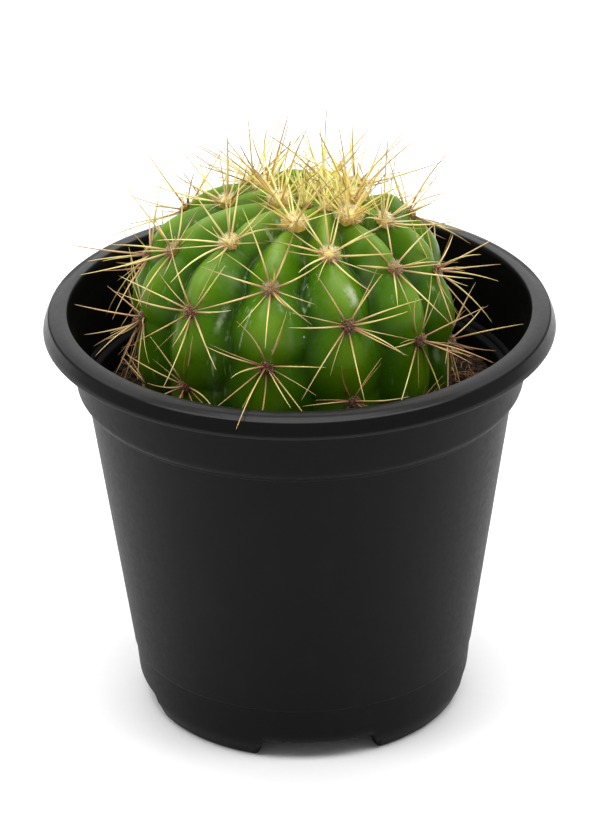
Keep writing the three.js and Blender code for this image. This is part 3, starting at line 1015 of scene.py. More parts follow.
    def arch(self, azimuth: np.ndarray) -> np.ndarray:
        """How high the foot is cut away: a flat-topped arch with softly rounded sloping ends.

        Args:
            azimuth: Degrees.

        Returns:
            The arch's height at each azimuth, 0 between the arches.
        """
        spacing = 360.0 / self.notch_count
        offset = (azimuth - self.notch_azimuth + spacing / 2.0) % spacing - spacing / 2.0
        sideways = (self.foot_radius + self.wall) * np.abs(np.sin(np.radians(offset)))
        reach = self.notch_half_width - sideways
        sloped = self.notch_half_width - self.notch_top_half_width
        return self.notch_height * smoothstep(reach, -self.notch_softness, sloped + self.notch_softness)

    def foot_outside(self, z: np.ndarray) -> np.ndarray:
        """The outside radius of the foot, by straight lines between five levels.

        Args:
            z: Heights.

        Returns:
            The radius at each height.
        """
        spread_out = self.foot_top_radius - self.foot_radius
        levels = (*self.foot_curve_z, self.foot_top_z / 2.0, self.foot_top_z)
        steps = (*self.foot_curve_reach, spread_out - self.foot_taper, spread_out)
        return self.foot_radius + np.interp(z, levels, steps)

    def lifted(self, radius: np.ndarray, z: np.ndarray, lift: np.ndarray) -> tuple[np.ndarray, np.ndarray]:
        """The foot's points raised to an arch: squeezed upwards, so that its lip stays rounded.

        Args:
            radius: The section's radii.
            z: The section's heights.
            lift: How high the foot is cut away at each azimuth.

        Returns:
            The new radii and heights.
        """
        inner_slope = self.wall / self.floor_underside_z
        ring = radius > self.foot_inner_radius - self.wall
        middle = self.foot_inner_radius + self.foot_middle + z * inner_slope
        outer = ring & (z < self.foot_top_z) & (radius > middle)
        inner = ring & ~outer & (z < self.floor_underside_z)
        outer_z = z + lift * (1.0 - z / self.foot_top_z)
        taper = self.foot_taper / (self.foot_top_z / 2.0)
        inset = np.maximum(self.foot_top_radius - (self.foot_top_z - z) * taper - radius, 0.0)
        squeezed = self.foot_outside(outer_z) - self.lip_rounding * inset
        cut = smoothstep(lift, 0.0, self.squeezed_from)
        inner_z = z + np.minimum(lift, self.notch_inner_height) * (1.0 - z / self.floor_underside_z)
        new_radius = np.where(outer, radius + (squeezed - radius) * cut, radius)
        new_radius = np.where(inner, radius + (inner_z - z) * inner_slope, new_radius)
        return new_radius, np.where(outer, outer_z, np.where(inner, inner_z, z))

    def shell(self) -> Tubes:
        """The section turned about the axis, with its foot lifted over the arches.

        Returns:
            One closed tube.
        """
        section = self.section()
        azimuth = self.azimuths()
        radius = np.repeat(section[:, :1], len(azimuth), 1)
        z = np.repeat(section[:, 1:], len(azimuth), 1)
        radius, z = self.lifted(radius, z, self.arch(azimuth)[None])
        rings = outward(azimuth)[None] * radius[..., None]
        rings[..., 2] = z
        underside = self.floor_underside_z * UPRIGHT[None]
        return Tubes(rings[None], underside, underside + self.wall * UPRIGHT)

    def drains(self) -> Tubes:
        """Upright round bars where the floor's holes are: one in the middle and a ring of others.

        Returns:
            One closed tube for each hole.
        """
        azimuth = self.notch_azimuth + np.arange(self.drain_count) * 360.0 / self.drain_count
        centres = np.concatenate([np.zeros((1, 3)), outward(azimuth) * self.drain_ring_radius])
        centres[:, 2] = self.floor_underside_z + self.wall / 2.0
        around = outward(np.arange(0.0, 360.0, self.drain_side)) * self.drain_radius
        reach = self.bar_reach * self.wall * UPRIGHT
        rings = centres[:, None, None] + around + np.stack([-reach, reach])[:, None]
        return Tubes(rings, centres - reach, centres + reach)

    def build(self) -> bpy.types.Object:
        """The pot with its drain holes cut.

        Returns:
            The finished piece, which replaces the construction's pot.
        """
        plastic = PotPlasticFinish().material()
        pot = make_object("nursery_pot", [self.shell()], plastic)
        bars = make_object("drain_bars", [self.drains()], plastic)
        cut = pot.modifiers.new("drain_holes", "BOOLEAN")
        cut.operation = "DIFFERENCE"
        cut.solver = "EXACT"
        cut.object = bars
        bpy.context.view_layer.update()
        finished = bpy.data.meshes.new_from_object(pot.evaluated_get(bpy.context.evaluated_depsgraph_get()))
        pot.modifiers.clear()
        pot.data = finished
        pot.data.set_sharp_from_angle(angle=math.radians(self.sharp_angle))
        bpy.data.objects.remove(bars)
        return dress(pot, Slot.POT, "pot")


@dataclass
class Body:
    """The plant's body: a superellipse turned about its axis, with ribs, bulges and a root."""

    axis_x: float = -1.3
    axis_y: float = -0.6
    radius: float = 37.6
    power: float = 2.55
    middle_z: float = 96.0
    rise: float = 32.8
    drop: float = 30.5
    outline_points: int = 241
    dimple_depth: float = 1.8
    dimple_radius: float = 7.0
    root_radius: float = 7.0
    root_tip_radius: float = 2.4
    root_tip_z: float = 46.0
    crown_move: float = 7.2
    crown_twist: float = -17.5
    crown_start_arc: float = 5.0
    crown_end_arc: float = 33.0
    rib_azimuths: tuple[float, ...] = (
        -10.0, 21.0, 51.5, 78.0, 112.0, 151.0, 190.0, 215.0, 238.0, 262.0, 287.0, 317.0
    )
    rib_shifts: tuple[float, ...] = (0.6, 1.2, 0.8, -0.9, 0.3, -0.5, 0.4, -0.6, 0.5, -0.4, 0.0, 0.5)
    rib_top_shifts: tuple[float, ...] = (-0.4, 0.0, -2.3, -2.2, -6.5, -6.0, -2.4, 1.5, 2.0, -2.0, -3.5, 0.4)
    rib_depth: float = 4.6
    rib_low_depth: float = 3.0
    rib_sharpness: float = 1.7
    rib_start_arc: float = 2.0
    rib_full_arc: float = 20.0
    rib_fade_arc: float = 68.0
    low_start_arc: float = 32.0
    low_full_arc: float = 64.0
    shown_arc: float = 79.5
    waist: float = 0.13
    bulge_height: float = 1.9
    bulge_low_height: float = 1.1
    bulge_level: float = 0.6
    bulge_lean: float = 1.3
    bulge_reach: float = 0.95
    first_row_arc: float = 13.0
    row_arc: float = 9.35
    unevenness: float = 0.16
    uneven_wavelength: float = 11.0
    uneven_start_arc: float = 3.0
    uneven_full_arc: float = 12.0
    softness: float = 0.12
    slope_step: float = 0.5
    slices: int = 372
    ring_spacing: float = 0.45
    buried_rings: int = 14
    last_ring_gap: float = 0.3
    outline: np.ndarray = field(init=False)

    def __post_init__(self) -> None:
        """Works out the outline: a row of arc lengths from the crown, one of radii, one of heights."""
        angle = np.linspace(0.0, np.pi, self.outline_points)
        radius = self.radius * np.abs(np.sin(angle)) ** (2.0 / self.power)
        level = np.sign(np.cos(angle)) * np.abs(np.cos(angle)) ** (2.0 / self.power)
        dimple = np.where(level > 0.0, self.dimple_depth * np.exp(-((radius / self.dimple_radius) ** 2)), 0.0)
        z = self.middle_z + level * np.where(level > 0.0, self.rise, self.drop) - dimple
        kept = (level > 0.0) | (radius > self.root_radius)
        radius = np.concatenate([radius[kept], [self.root_tip_radius, 0.0]])
        z = np.concatenate([z[kept], [self.root_tip_z + self.root_tip_radius, self.root_tip_z]])
        arc = np.concatenate([[0.0], np.cumsum(np.hypot(np.diff(radius), np.diff(z)))])
        self.outline = np.stack([arc, radius, z])

    def outline_at(self, arc: np.ndarray) -> tuple[np.ndarray, np.ndarray]:
        """Radius and height of the outline at an arc length, by straight interpolation."""
        length, radius, z = self.outline
        return np.interp(arc, length, radius), np.interp(arc, length, z)

    def slope(self, arc: np.ndarray) -> tuple[np.ndarray, np.ndarray]:
        """The outline's unit direction down the body, between a step before and a step after.

        Args:
            arc: Arc lengths from the crown.

        Returns:
            Its run outwards and its rise.
        """
        high_radius, high_z = self.outline_at(np.maximum(arc - self.slope_step, 0.0))
        low_radius, low_z = self.outline_at(arc + self.slope_step)
        run, rise = low_radius - high_radius, low_z - high_z
        length = np.maximum(np.hypot(run, rise), TINY)
        return run / length, rise / length

    def crown_share(self, arc: np.ndarray) -> np.ndarray:
        """How much of the crown's sideways move and of its turn applies at an arc length."""
        return 1.0 - smoothstep(arc, self.crown_start_arc, self.crown_end_arc)

    def twist(self, arc: np.ndarray) -> np.ndarray:
        """How far the ribs turn on their way up to the crown, in degrees."""
        return self.crown_twist * self.crown_share(arc)

    def bottom_fade(self, arc: np.ndarray) -> np.ndarray:
        """1 where the ribs stand at full height, falling to 0 where the body enters the soil."""
        return 1.0 - smoothstep(arc, self.rib_fade_arc, self.shown_arc)

    def relief(self, azimuth: np.ndarray, arc: np.ndarray) -> tuple[np.ndarray, np.ndarray]:
        """How far the skin stands off the outline, and how near a crest it is.

        Each rib falls off to both sides as a power of the distance over the rib's width. Between
        two areoles a sine, which leans down, makes the rib bulge and widens it; at the areoles it
        is low and narrow. The skin is the highest of all ribs, so the grooves wander from side to
        side. A soft maximum rounds the bottom of the grooves.

        Args:
            azimuth: Degrees.
            arc: Arc length from the crown.

        Returns:
            The height along the outline's normal, and 1 on a crest falling to 0 in a groove.
        """
        crests = np.array(self.rib_azimuths)
        gaps = (np.roll(crests, -1) - crests) % 360.0 / 2.0
        low_share = smoothstep(arc, self.low_start_arc, self.low_full_arc)
        depth = self.rib_depth + (self.rib_low_depth - self.rib_depth) * low_share
        bulge_height = self.bulge_height + (self.bulge_low_height - self.bulge_height) * low_share
        heights = []
        for rib, crest in enumerate(crests):
            offset = (azimuth - self.twist(arc) - crest + 180.0) % 360.0 - 180.0
            share = np.abs(offset) / np.where(offset < 0.0, gaps[rib - 1], gaps[rib])
            start = self.first_row_arc + self.rib_shifts[rib] + (rib % 2) * self.row_arc
            moved = self.rib_top_shifts[rib] * (1.0 - smoothstep(arc, start, start + 2.0 * self.row_arc))
            along = ((arc - start - moved) / (2.0 * self.row_arc)) % 1.0
            swell = np.sin(np.pi * along**self.bulge_lean)
            width = 1.0 + self.waist * (2.0 * swell - 1.0)
            dome = 1.0 - smoothstep(share, 0.0, self.bulge_reach)
            bulge = bulge_height * (swell * dome - self.bulge_level)
            heights.append(bulge - depth * (share / width) ** self.rib_sharpness)
        stack = np.stack(heights)
        top = stack.max(0)
        highest = top + self.softness * np.log(np.exp((stack - top) / self.softness).sum(0))
        strength = smoothstep(arc, self.rib_start_arc, self.rib_full_arc) * self.bottom_fade(arc)
        low = -bulge_height * self.bulge_level - depth
        crest_share = np.clip((highest - low) / (bulge_height + depth), 0.0, 1.0)
        return strength * highest, crest_share

    def skin(self, azimuth: np.ndarray, arc: np.ndarray) -> np.ndarray:
        """The skin's place: the outline moved along its normal by the relief and a faint unevenness.

        Args:
            azimuth: Degrees.
            arc: Arc length from the crown, shaped as azimuth.

        Returns:
            Places, with the three coordinates last.
        """
        radius, z = self.outline_at(arc)
        run, rise = self.slope(arc)
        height, _ = self.relief(azimuth, arc)
        around = outward(azimuth)
        smooth_place = around * radius[..., None]
        smooth_place[..., 2] = z
        shown = smoothstep(arc, self.uneven_start_arc, self.uneven_full_arc) * self.bottom_fade(arc)
        height = height + self.unevenness * shown * ripple(smooth_place, self.uneven_wavelength, 5)
        place = around * np.maximum(0.0, radius - rise * height)[..., None]
        place[..., 2] = z + run * height
        place[..., 0] += self.crown_move * self.crown_share(arc)
        return place + np.array([self.axis_x, self.axis_y, 0.0])

    def mesh(self) -> Tubes:
        """Rings of skin from crown to root.

        Returns:
            One closed tube with the fields crest and down.
        """
        shown = np.arange(self.ring_spacing, self.shown_arc, self.ring_spacing)
        buried = np.linspace(self.shown_arc, self.outline[0, -1] - self.last_ring_gap, self.buried_rings)
        around = np.arange(self.slices) * 360.0 / self.slices
        azimuth, arc = np.meshgrid(around, np.concatenate([shown, buried]))
        first = np.array([[self.axis_x + self.crown_move, self.axis_y, self.outline[2, 0]]])
        last = np.array([[self.axis_x, self.axis_y, self.root_tip_z]])
        crest = self.relief(azimuth, arc)[1]
        down = np.minimum(arc / self.shown_arc, 1.0)
        return Tubes(self.skin(azimuth, arc)[None], first, last, {"crest": crest[None], "down": down[None]})


@dataclass
class Areoles:
    """The plant's areoles: rows down the ribs, each row on every second rib, and the crown's."""

    body: Body
    row_count: int = 7
    crown_row: int = -1
    crown_arc: float = 5.0
    youngest_rows: float = 0.6
    ageing_rows: float = 5.0
    wool_radii: tuple[float, ...] = (1.5, 3.1, 2.5, 2.0, 1.8, 1.7, 1.6, 1.5)
    wool_flatness: float = 0.72
    row: np.ndarray = field(init=False)
    rib: np.ndarray = field(init=False)
    point: np.ndarray = field(init=False)
    up: np.ndarray = field(init=False)
    side: np.ndarray = field(init=False)
    normal: np.ndarray = field(init=False)

    def __post_init__(self) -> None:
        """Numbers the areoles and works out where each one stands and how it is turned."""
        pairs = [
            (row, rib)
            for row in range(self.crown_row, self.row_count)
            for rib in range(abs(row) % 2, len(self.body.rib_azimuths), 2)
        ]
        self.row, self.rib = np.array(pairs).T
        top_of_rib = self.row < 2
        lower = self.body.first_row_arc + self.row * self.body.row_arc
        lower += np.array(self.body.rib_shifts)[self.rib]
        lower += np.where(top_of_rib, np.array(self.body.rib_top_shifts)[self.rib], 0.0)
        arc = np.where(self.row == self.crown_row, self.crown_arc, lower)
        azimuth = np.array(self.body.rib_azimuths)[self.rib] + self.body.twist(arc)
        run, rise = self.body.slope(arc)
        out = outward(azimuth)
        self.point = self.body.skin(azimuth, arc)
        self.up = -run[:, None] * out - rise[:, None] * UPRIGHT
        self.side = outward(azimuth + 90.0)
        self.normal = -rise[:, None] * out + run[:, None] * UPRIGHT

    def by_row(self, values: tuple[float, ...]) -> np.ndarray:
        """One of the per-row values for each areole, the crown's first."""
        return np.array(values)[self.row - self.crown_row]

    def age(self) -> np.ndarray:
        """0 for the newest areoles at the crown to 1 for the lowest ones."""
        return np.clip((self.row - self.crown_row - self.youngest_rows) / self.ageing_rows, 0.0, 1.0)

    def on_dome(self, which: np.ndarray, tilt: np.ndarray, turn: np.ndarray, scale: np.ndarray) -> np.ndarray:
        """Places on the flattened wool domes.

        Args:
            which: Numbers of the areoles.
            tilt: Angle from the dome's top, in radians.
            turn: Angle round the dome, in radians.
            scale: A factor on the dome's radius.

        Returns:
            Places, with the three coordinates last.
        """
        radius = self.by_row(self.wool_radii)[which] * scale
        flat = radius * np.sin(tilt)
        rise = radius * np.cos(tilt) * self.wool_flatness
        return (
            self.point[which]
            + (flat * np.cos(turn))[..., None] * self.side[which]
            + (flat * np.sin(turn))[..., None] * self.up[which]
            + rise[..., None] * self.normal[which]
        )


@dataclass
class Wool:
    """The areoles' wool: lumpy domes under a dense coat of short hairs."""

    areoles: Areoles
    dome_scale: float = 0.86
    dome_rings: int = 13
    dome_slices: int = 24
    lump_size: float = 1.7
    lump_depth: float = 0.12
    small_lump_size: float = 0.8
    small_lump_depth: float = 0.07
    young_hairs: int = 900
    old_hairs: int = 260
    thinned_by_age: float = 0.5
    root_scale: float = 0.8
    root_depth: float = 0.05
    hair_reach: float = 1.05
    hair_rise: float = 0.25
    hair_stray: float = 1.5
    hair_curl: float = 1.1
    hair_length: float = 1.3
    shortest: float = 0.5
    length_spread: float = 0.9
    lower_part: float = 0.45
    upper_part: float = 0.6
    hair_radius: float = 0.06
    hair_sides: int = 3

    def domes(self) -> Tubes:
        """Flattened spheres whose radius ripples a little.

        Returns:
            One closed tube for each areole.
        """
        numbers = np.arange(len(self.areoles.row))
        tilt = np.linspace(0.0, np.pi, self.dome_rings + 2)[1:-1]
        turn = np.linspace(0.0, 2.0 * np.pi, self.dome_slices, endpoint=False)
        which, tilt, turn = np.meshgrid(numbers, tilt, turn, indexing="ij")
        plain = self.areoles.on_dome(which, tilt, turn, np.ones(which.shape))
        lumps = self.lump_depth * ripple(plain, self.lump_size, 21)
        small_lumps = self.small_lump_depth * ripple(plain, self.small_lump_size, 22)
        rings = self.areoles.on_dome(which, tilt, turn, self.dome_scale * (1.0 + lumps + small_lumps))
        zero = np.zeros(len(numbers))
        first = self.areoles.on_dome(numbers, zero, zero, zero + self.dome_scale)
        last = self.areoles.on_dome(numbers, zero + np.pi, zero, zero + self.dome_scale)
        return Tubes(rings, first, last, self.fields(which, tilt, turn, np.zeros(which.shape)))

    def fields(
        self, which: np.ndarray, tilt: np.ndarray, turn: np.ndarray, tone: np.ndarray
    ) -> dict[str, np.ndarray]:
        """The shader's values: age, height on the dome, how far on its lower side, and tone."""
        below = np.clip(-np.sin(tilt) * np.sin(turn), 0.0, 1.0)
        return {"age": self.areoles.age()[which], "lift": np.cos(tilt), "below": below, "tone": tone}

    def hairs(self) -> Tubes:
        """Three-sided spindles that leave the dome at odd angles and kink a little at their middle.

        Returns:
            One tube of a single ring for each hair.
        """
        areoles = self.areoles
        share = np.clip(areoles.age() / self.thinned_by_age, 0.0, 1.0)
        counts = (self.young_hairs + (self.old_hairs - self.young_hairs) * share).astype(int)
        which = np.repeat(np.arange(len(counts)), counts)
        number = np.arange(len(which))
        tilt = np.arccos(1.0 - self.hair_reach * chance(number, which, 31.0))
        turn = 2.0 * np.pi * chance(number, which, 32.0)
        root = areoles.on_dome(which, tilt, turn, np.full(len(which), self.root_scale))
        away = unit(root - areoles.point[which] + self.hair_rise * areoles.normal[which])
        direction = unit(away + self.hair_stray * (chances(number, which, 33.0) - 0.5))
        bent = unit(direction + self.hair_curl * (chances(number, which, 37.0) - 0.5))
        size = areoles.by_row(areoles.wool_radii)[which] / max(areoles.wool_radii)
        length = self.hair_length * (self.shortest + self.length_spread * chance(number, which, 36.0)) * size
        middle = root + direction * (self.lower_part * length)[:, None]
        tip = middle + bent * (self.upper_part * length)[:, None]
        rings = middle[:, None, None] + ring_round(direction, self.hair_sides)[:, None] * self.hair_radius
        values = self.fields(which, tilt, turn, chance(number, which, 40.0))
        fields = {name: spread(value, rings) for name, value in values.items()}
        return Tubes(rings, root - self.root_depth * direction, tip, fields)

    def build(self) -> bpy.types.Object:
        """The domes and their hairs as one piece."""
        piece = make_object("areole_wool", [self.domes(), self.hairs()], WoolFinish().material())
        return dress(piece, Slot.WOOL)


@dataclass
class SpineSet:
    """Spines as arrays, one entry for each spine.

    Attributes:
        areole: The number of the areole that each grows from.
        number: Its own number there, which seeds its random draws.
        clock: Its direction round the areole in degrees, 0 up the rib.
        lift: Degrees from the skin.
        length: Millimetres.
        radius: At the root, in millimetres.
    """

    areole: np.ndarray
    number: np.ndarray
    clock: np.ndarray
    lift: np.ndarray
    length: np.ndarray
    radius: np.ndarray


@dataclass
class SpinePaths:
    """The spines' curved centre lines as arrays, one entry for each spine.

    Attributes:
        areole: The number of the areole that each grows from.
        key: A whole number that seeds its random draws, with its rib's number.
        root: Where it starts, (spines, 3).
        direction: Its first direction, (spines, 3).
        bend: Its sideways drift for each unit of length, (spines, 3).
        length: Millimetres.
        radius: At the root, in millimetres.
    """

    areole: np.ndarray
    key: np.ndarray
    root: np.ndarray
    direction: np.ndarray
    bend: np.ndarray
    length: np.ndarray
    radius: np.ndarray

    def at(self, share: np.ndarray) -> np.ndarray:
        """Places along the spines: the drift grows with the square of the distance.

        Args:
            share: Parts of the length, (steps,).

        Returns:
            Places, (spines, steps, 3).
        """
        reach = (self.length[:, None] * share)[..., None]
        drift = self.bend[:, None] * reach * share[:, None]
        return self.root[:, None] + self.direction[:, None] * reach + drift

    def kept(self, chosen: np.ndarray) -> "SpinePaths":
        """Only the spines for which chosen is true."""
        return SpinePaths(*(column[chosen] for column in vars(self).values()))


@dataclass
class Spines:
    """All the spines: the construction's own, drawn finer, and thinner ones between them."""

    areoles: Areoles
    pot: NurseryPot
    lifts: tuple[float, ...] = (66.0, 44.0, 30.0, 24.0, 18.0, 16.0, 16.0, 18.0)
    lengths: tuple[float, ...] = (11.5, 19.5, 20.5, 20.0, 19.5, 18.5, 17.5, 14.0)
    numbers_per_row: int = 40
    radial_count: int = 7
    crown_radial_count: int = 4
    upper_shortening: float = 0.08
    central_lift: float = 68.0
    central_thickness: float = 1.12
    upright_rows: int = 2
    fine_counts: tuple[int, int] = (6, 4)
    fine_number: int = 12
    fine_clock: float = 25.0
    fine_lift: float = -6.0
    fine_reach: float = 0.7
    steep_counts: tuple[int, int] = (2, 1)
    steep_number: int = 24
    steep_clock: float = 130.0
    steep_spacing: float = 150.0
    steep_lift: float = -16.0
    steep_reach: float = 0.85
    steep_thickness: float = 0.9
    over_rim_number: int = 39
    over_rim_areole: tuple[int, int] = (4, 0)
    over_rim_tip: Triple = (-14.4, -62.8, 100.3)
    over_rim_bow: float = 0.6
    clock_spread: float = 14.0
    lift_spread: float = 16.0
    length_spread: float = 0.28
    outward_bend: float = 0.2
    inward_share: float = 0.6
    sideways_bend: float = 0.28
    sunk: float = 0.36
    soil_z: float = 76.8
    clearance: float = 0.9
    clear_tries: int = 16
    clear_rise: float = 0.05
    clear_shortening: float = 0.95
    clear_samples: int = 6
    main_radius: float = 0.3
    fine_radius: float = 0.17
    old_thinning: float = 0.3
    taper: float = 0.5
    last_ring: float = 0.96
    bow: float = 0.05
    sides: int = 6
    steps: int = 9

    def main_set(self) -> SpineSet:
        """The spines that the construction also has: radials round each areole and one central.

        Returns:
            The spines.
        """
        rows = []
        for which, (row, rib) in enumerate(zip(self.areoles.row, self.areoles.rib)):
            count = self.crown_radial_count if row == self.areoles.crown_row else self.radial_count
            lift = self.lifts[row - self.areoles.crown_row]
            reach = self.lengths[row - self.areoles.crown_row]
            for i in range(count):
                clock = (i + 0.5) * 360.0 / count
                shortened = 1.0 - self.upper_shortening * (1.0 + math.cos(math.radians(clock)))
                rows.append((which, i, clock, lift, reach * shortened, self.main_radius))
            clock = 0.0 if row < self.upright_rows else 360.0 * float(chance(row, rib, 6.0))
            thick = self.main_radius * self.central_thickness
            rows.append((which, count, clock, self.central_lift, reach, thick))
        return SpineSet(*np.array(rows).T)

    def fine_set(self) -> SpineSet:
        """Thinner spines between the main ones, denser and more upright towards the crown.

        Returns:
            The spines.
        """
        rows = []
        for which, row in enumerate(self.areoles.row):
            lift = self.lifts[row - self.areoles.crown_row] + self.fine_lift
            reach = self.lengths[row - self.areoles.crown_row]
            old = int(row >= self.upright_rows)
            length = reach * self.fine_reach
            for i in range(self.fine_counts[old]):
                clock = i * 360.0 / self.fine_counts[old] + self.fine_clock
                rows.append((which, self.fine_number + i, clock, lift, length, self.fine_radius))
            lift = self.central_lift + self.steep_lift
            length = reach * self.steep_reach
            thick = self.main_radius * self.steep_thickness
            for i in range(self.steep_counts[old]):
                clock = self.steep_clock + self.steep_spacing * i
                rows.append((which, self.steep_number + i, clock, lift, length, thick))
        return SpineSet(*np.array(rows).T)

    def over_rim(self) -> Tubes:
        """The one long spine that reaches out over the front of the rim.

        It is the parabola from its areole to its tip that rises over_rim_bow above the chord.

        Returns:
            One closed tube.
        """
        areoles = self.areoles
        row, rib = self.over_rim_areole
        which = np.flatnonzero((areoles.row == row) & (areoles.rib == rib))
        root = areoles.point[which] - areoles.normal[which] * self.sunk
        fall = 4.0 * self.over_rim_bow * UPRIGHT
        first = np.array(self.over_rim_tip) - root + fall
        length = np.linalg.norm(first, axis=-1)
        key = areoles.row[which] * self.numbers_per_row + self.over_rim_number
        radius = np.full(len(which), self.main_radius)
        return self.tubes(SpinePaths(which, key, root, unit(first), -fall / length[:, None], length, radius))

    def is_blocked(self, points: np.ndarray) -> np.ndarray:
        """True for a spine with a sample too near the soil or the pot's inside and rim.

        Args:
            points: Samples, (spines, steps, 3).

        Returns:
            One truth value for each spine.
        """
        distance = np.hypot(points[..., 0], points[..., 1])
        near_soil = points[..., 2] < self.soil_z + self.clearance
        low = points[..., 2] < self.pot.height + self.clearance
        near_wall = low & (distance > self.pot.inside(points[..., 2]) - self.clearance)
        return (near_soil | near_wall).any(-1)

    def grow(self, spines: SpineSet) -> Tubes:
        """Turns a set of spines into slender tapered tubes, bent and shortened clear of the pot.

        Args:
            spines: The spines.

        Returns:
            One tube for each spine that can be cleared, with the fields age, along and tone.
        """
        areoles = self.areoles
        which = spines.areole.astype(int)
        key = areoles.row[which] * self.numbers_per_row + spines.number
        rib = areoles.rib[which]
        turn = np.radians(spines.clock + self.clock_spread * (chance(key, rib, 1.0) - 0.5))[:, None]
        rise = np.radians(spines.lift + self.lift_spread * (chance(key, rib, 2.0) - 0.5))[:, None]
        up, side, normal = areoles.up[which], areoles.side[which], areoles.normal[which]
        direction = (up * np.cos(turn) + side * np.sin(turn)) * np.cos(rise) + normal * np.sin(rise)
        bend = normal * (self.outward_bend * (chance(key, rib, 3.0) - self.inward_share))[:, None]
        bend += side * (self.sideways_bend * (chance(key, rib, 4.0) - 0.5))[:, None]
        root = areoles.point[which] - normal * self.sunk
        length = spines.length * (1.0 + self.length_spread * (chance(key, rib, 5.0) - 0.5))
        paths = SpinePaths(which, key, root, direction, bend, length, spines.radius)
        samples = np.arange(2, self.clear_samples + 1) / self.clear_samples
        for _ in range(self.clear_tries):
            blocked = self.is_blocked(paths.at(samples))
            paths.direction[blocked, 2] += self.clear_rise
            paths.direction = unit(paths.direction)
            paths.length = np.where(blocked, paths.length * self.clear_shortening, paths.length)
        return self.tubes(paths.kept(~self.is_blocked(paths.at(samples))))

    def tubes(self, paths: SpinePaths) -> Tubes:
        """Rings along each spine; the radius falls as a power of what is left of the length.

        A parabola between root and tip bows each spine a little to one side.

        Args:
            paths: The spines' centre lines.

        Returns:
            The closed tubes.
        """
        rib = self.areoles.rib[paths.areole]
        age = self.areoles.age()[paths.areole]
        share = np.linspace(0.0, self.last_ring, self.steps)
        first_side, second_side = across(paths.direction)
        lean = 2.0 * np.pi * chance(paths.key, rib, 8.0)[:, None]
        aside = (first_side * np.cos(lean) + second_side * np.sin(lean))[:, None]
        swing = (self.bow * paths.length * chance(paths.key, rib, 9.0))[:, None, None]
        centre = paths.at(share) + aside * swing * (4.0 * share * (1.0 - share))[:, None]
        thick = paths.radius * (1.0 - self.old_thinning * age)
        radius = thick[:, None] * (1.0 - share) ** self.taper
        around = ring_round(paths.direction, self.sides)[:, None]
        rings = centre[:, :, None] + around * radius[..., None, None]
        tip = paths.at(np.ones(1))[:, 0]
        along = np.broadcast_to(share[:, None], rings.shape[:3])
        tone = spread(chance(paths.key, rib, 7.0), rings)
        return Tubes(rings, paths.root, tip, {"age": spread(age, rings), "along": along, "tone": tone})

    def build(self) -> bpy.types.Object:
        """All spines as one piece."""
        parts = [self.grow(self.main_set()), self.grow(self.fine_set()), self.over_rim()]
        return dress(make_object("spines", parts, SpineFinish().material()), Slot.SPINES)


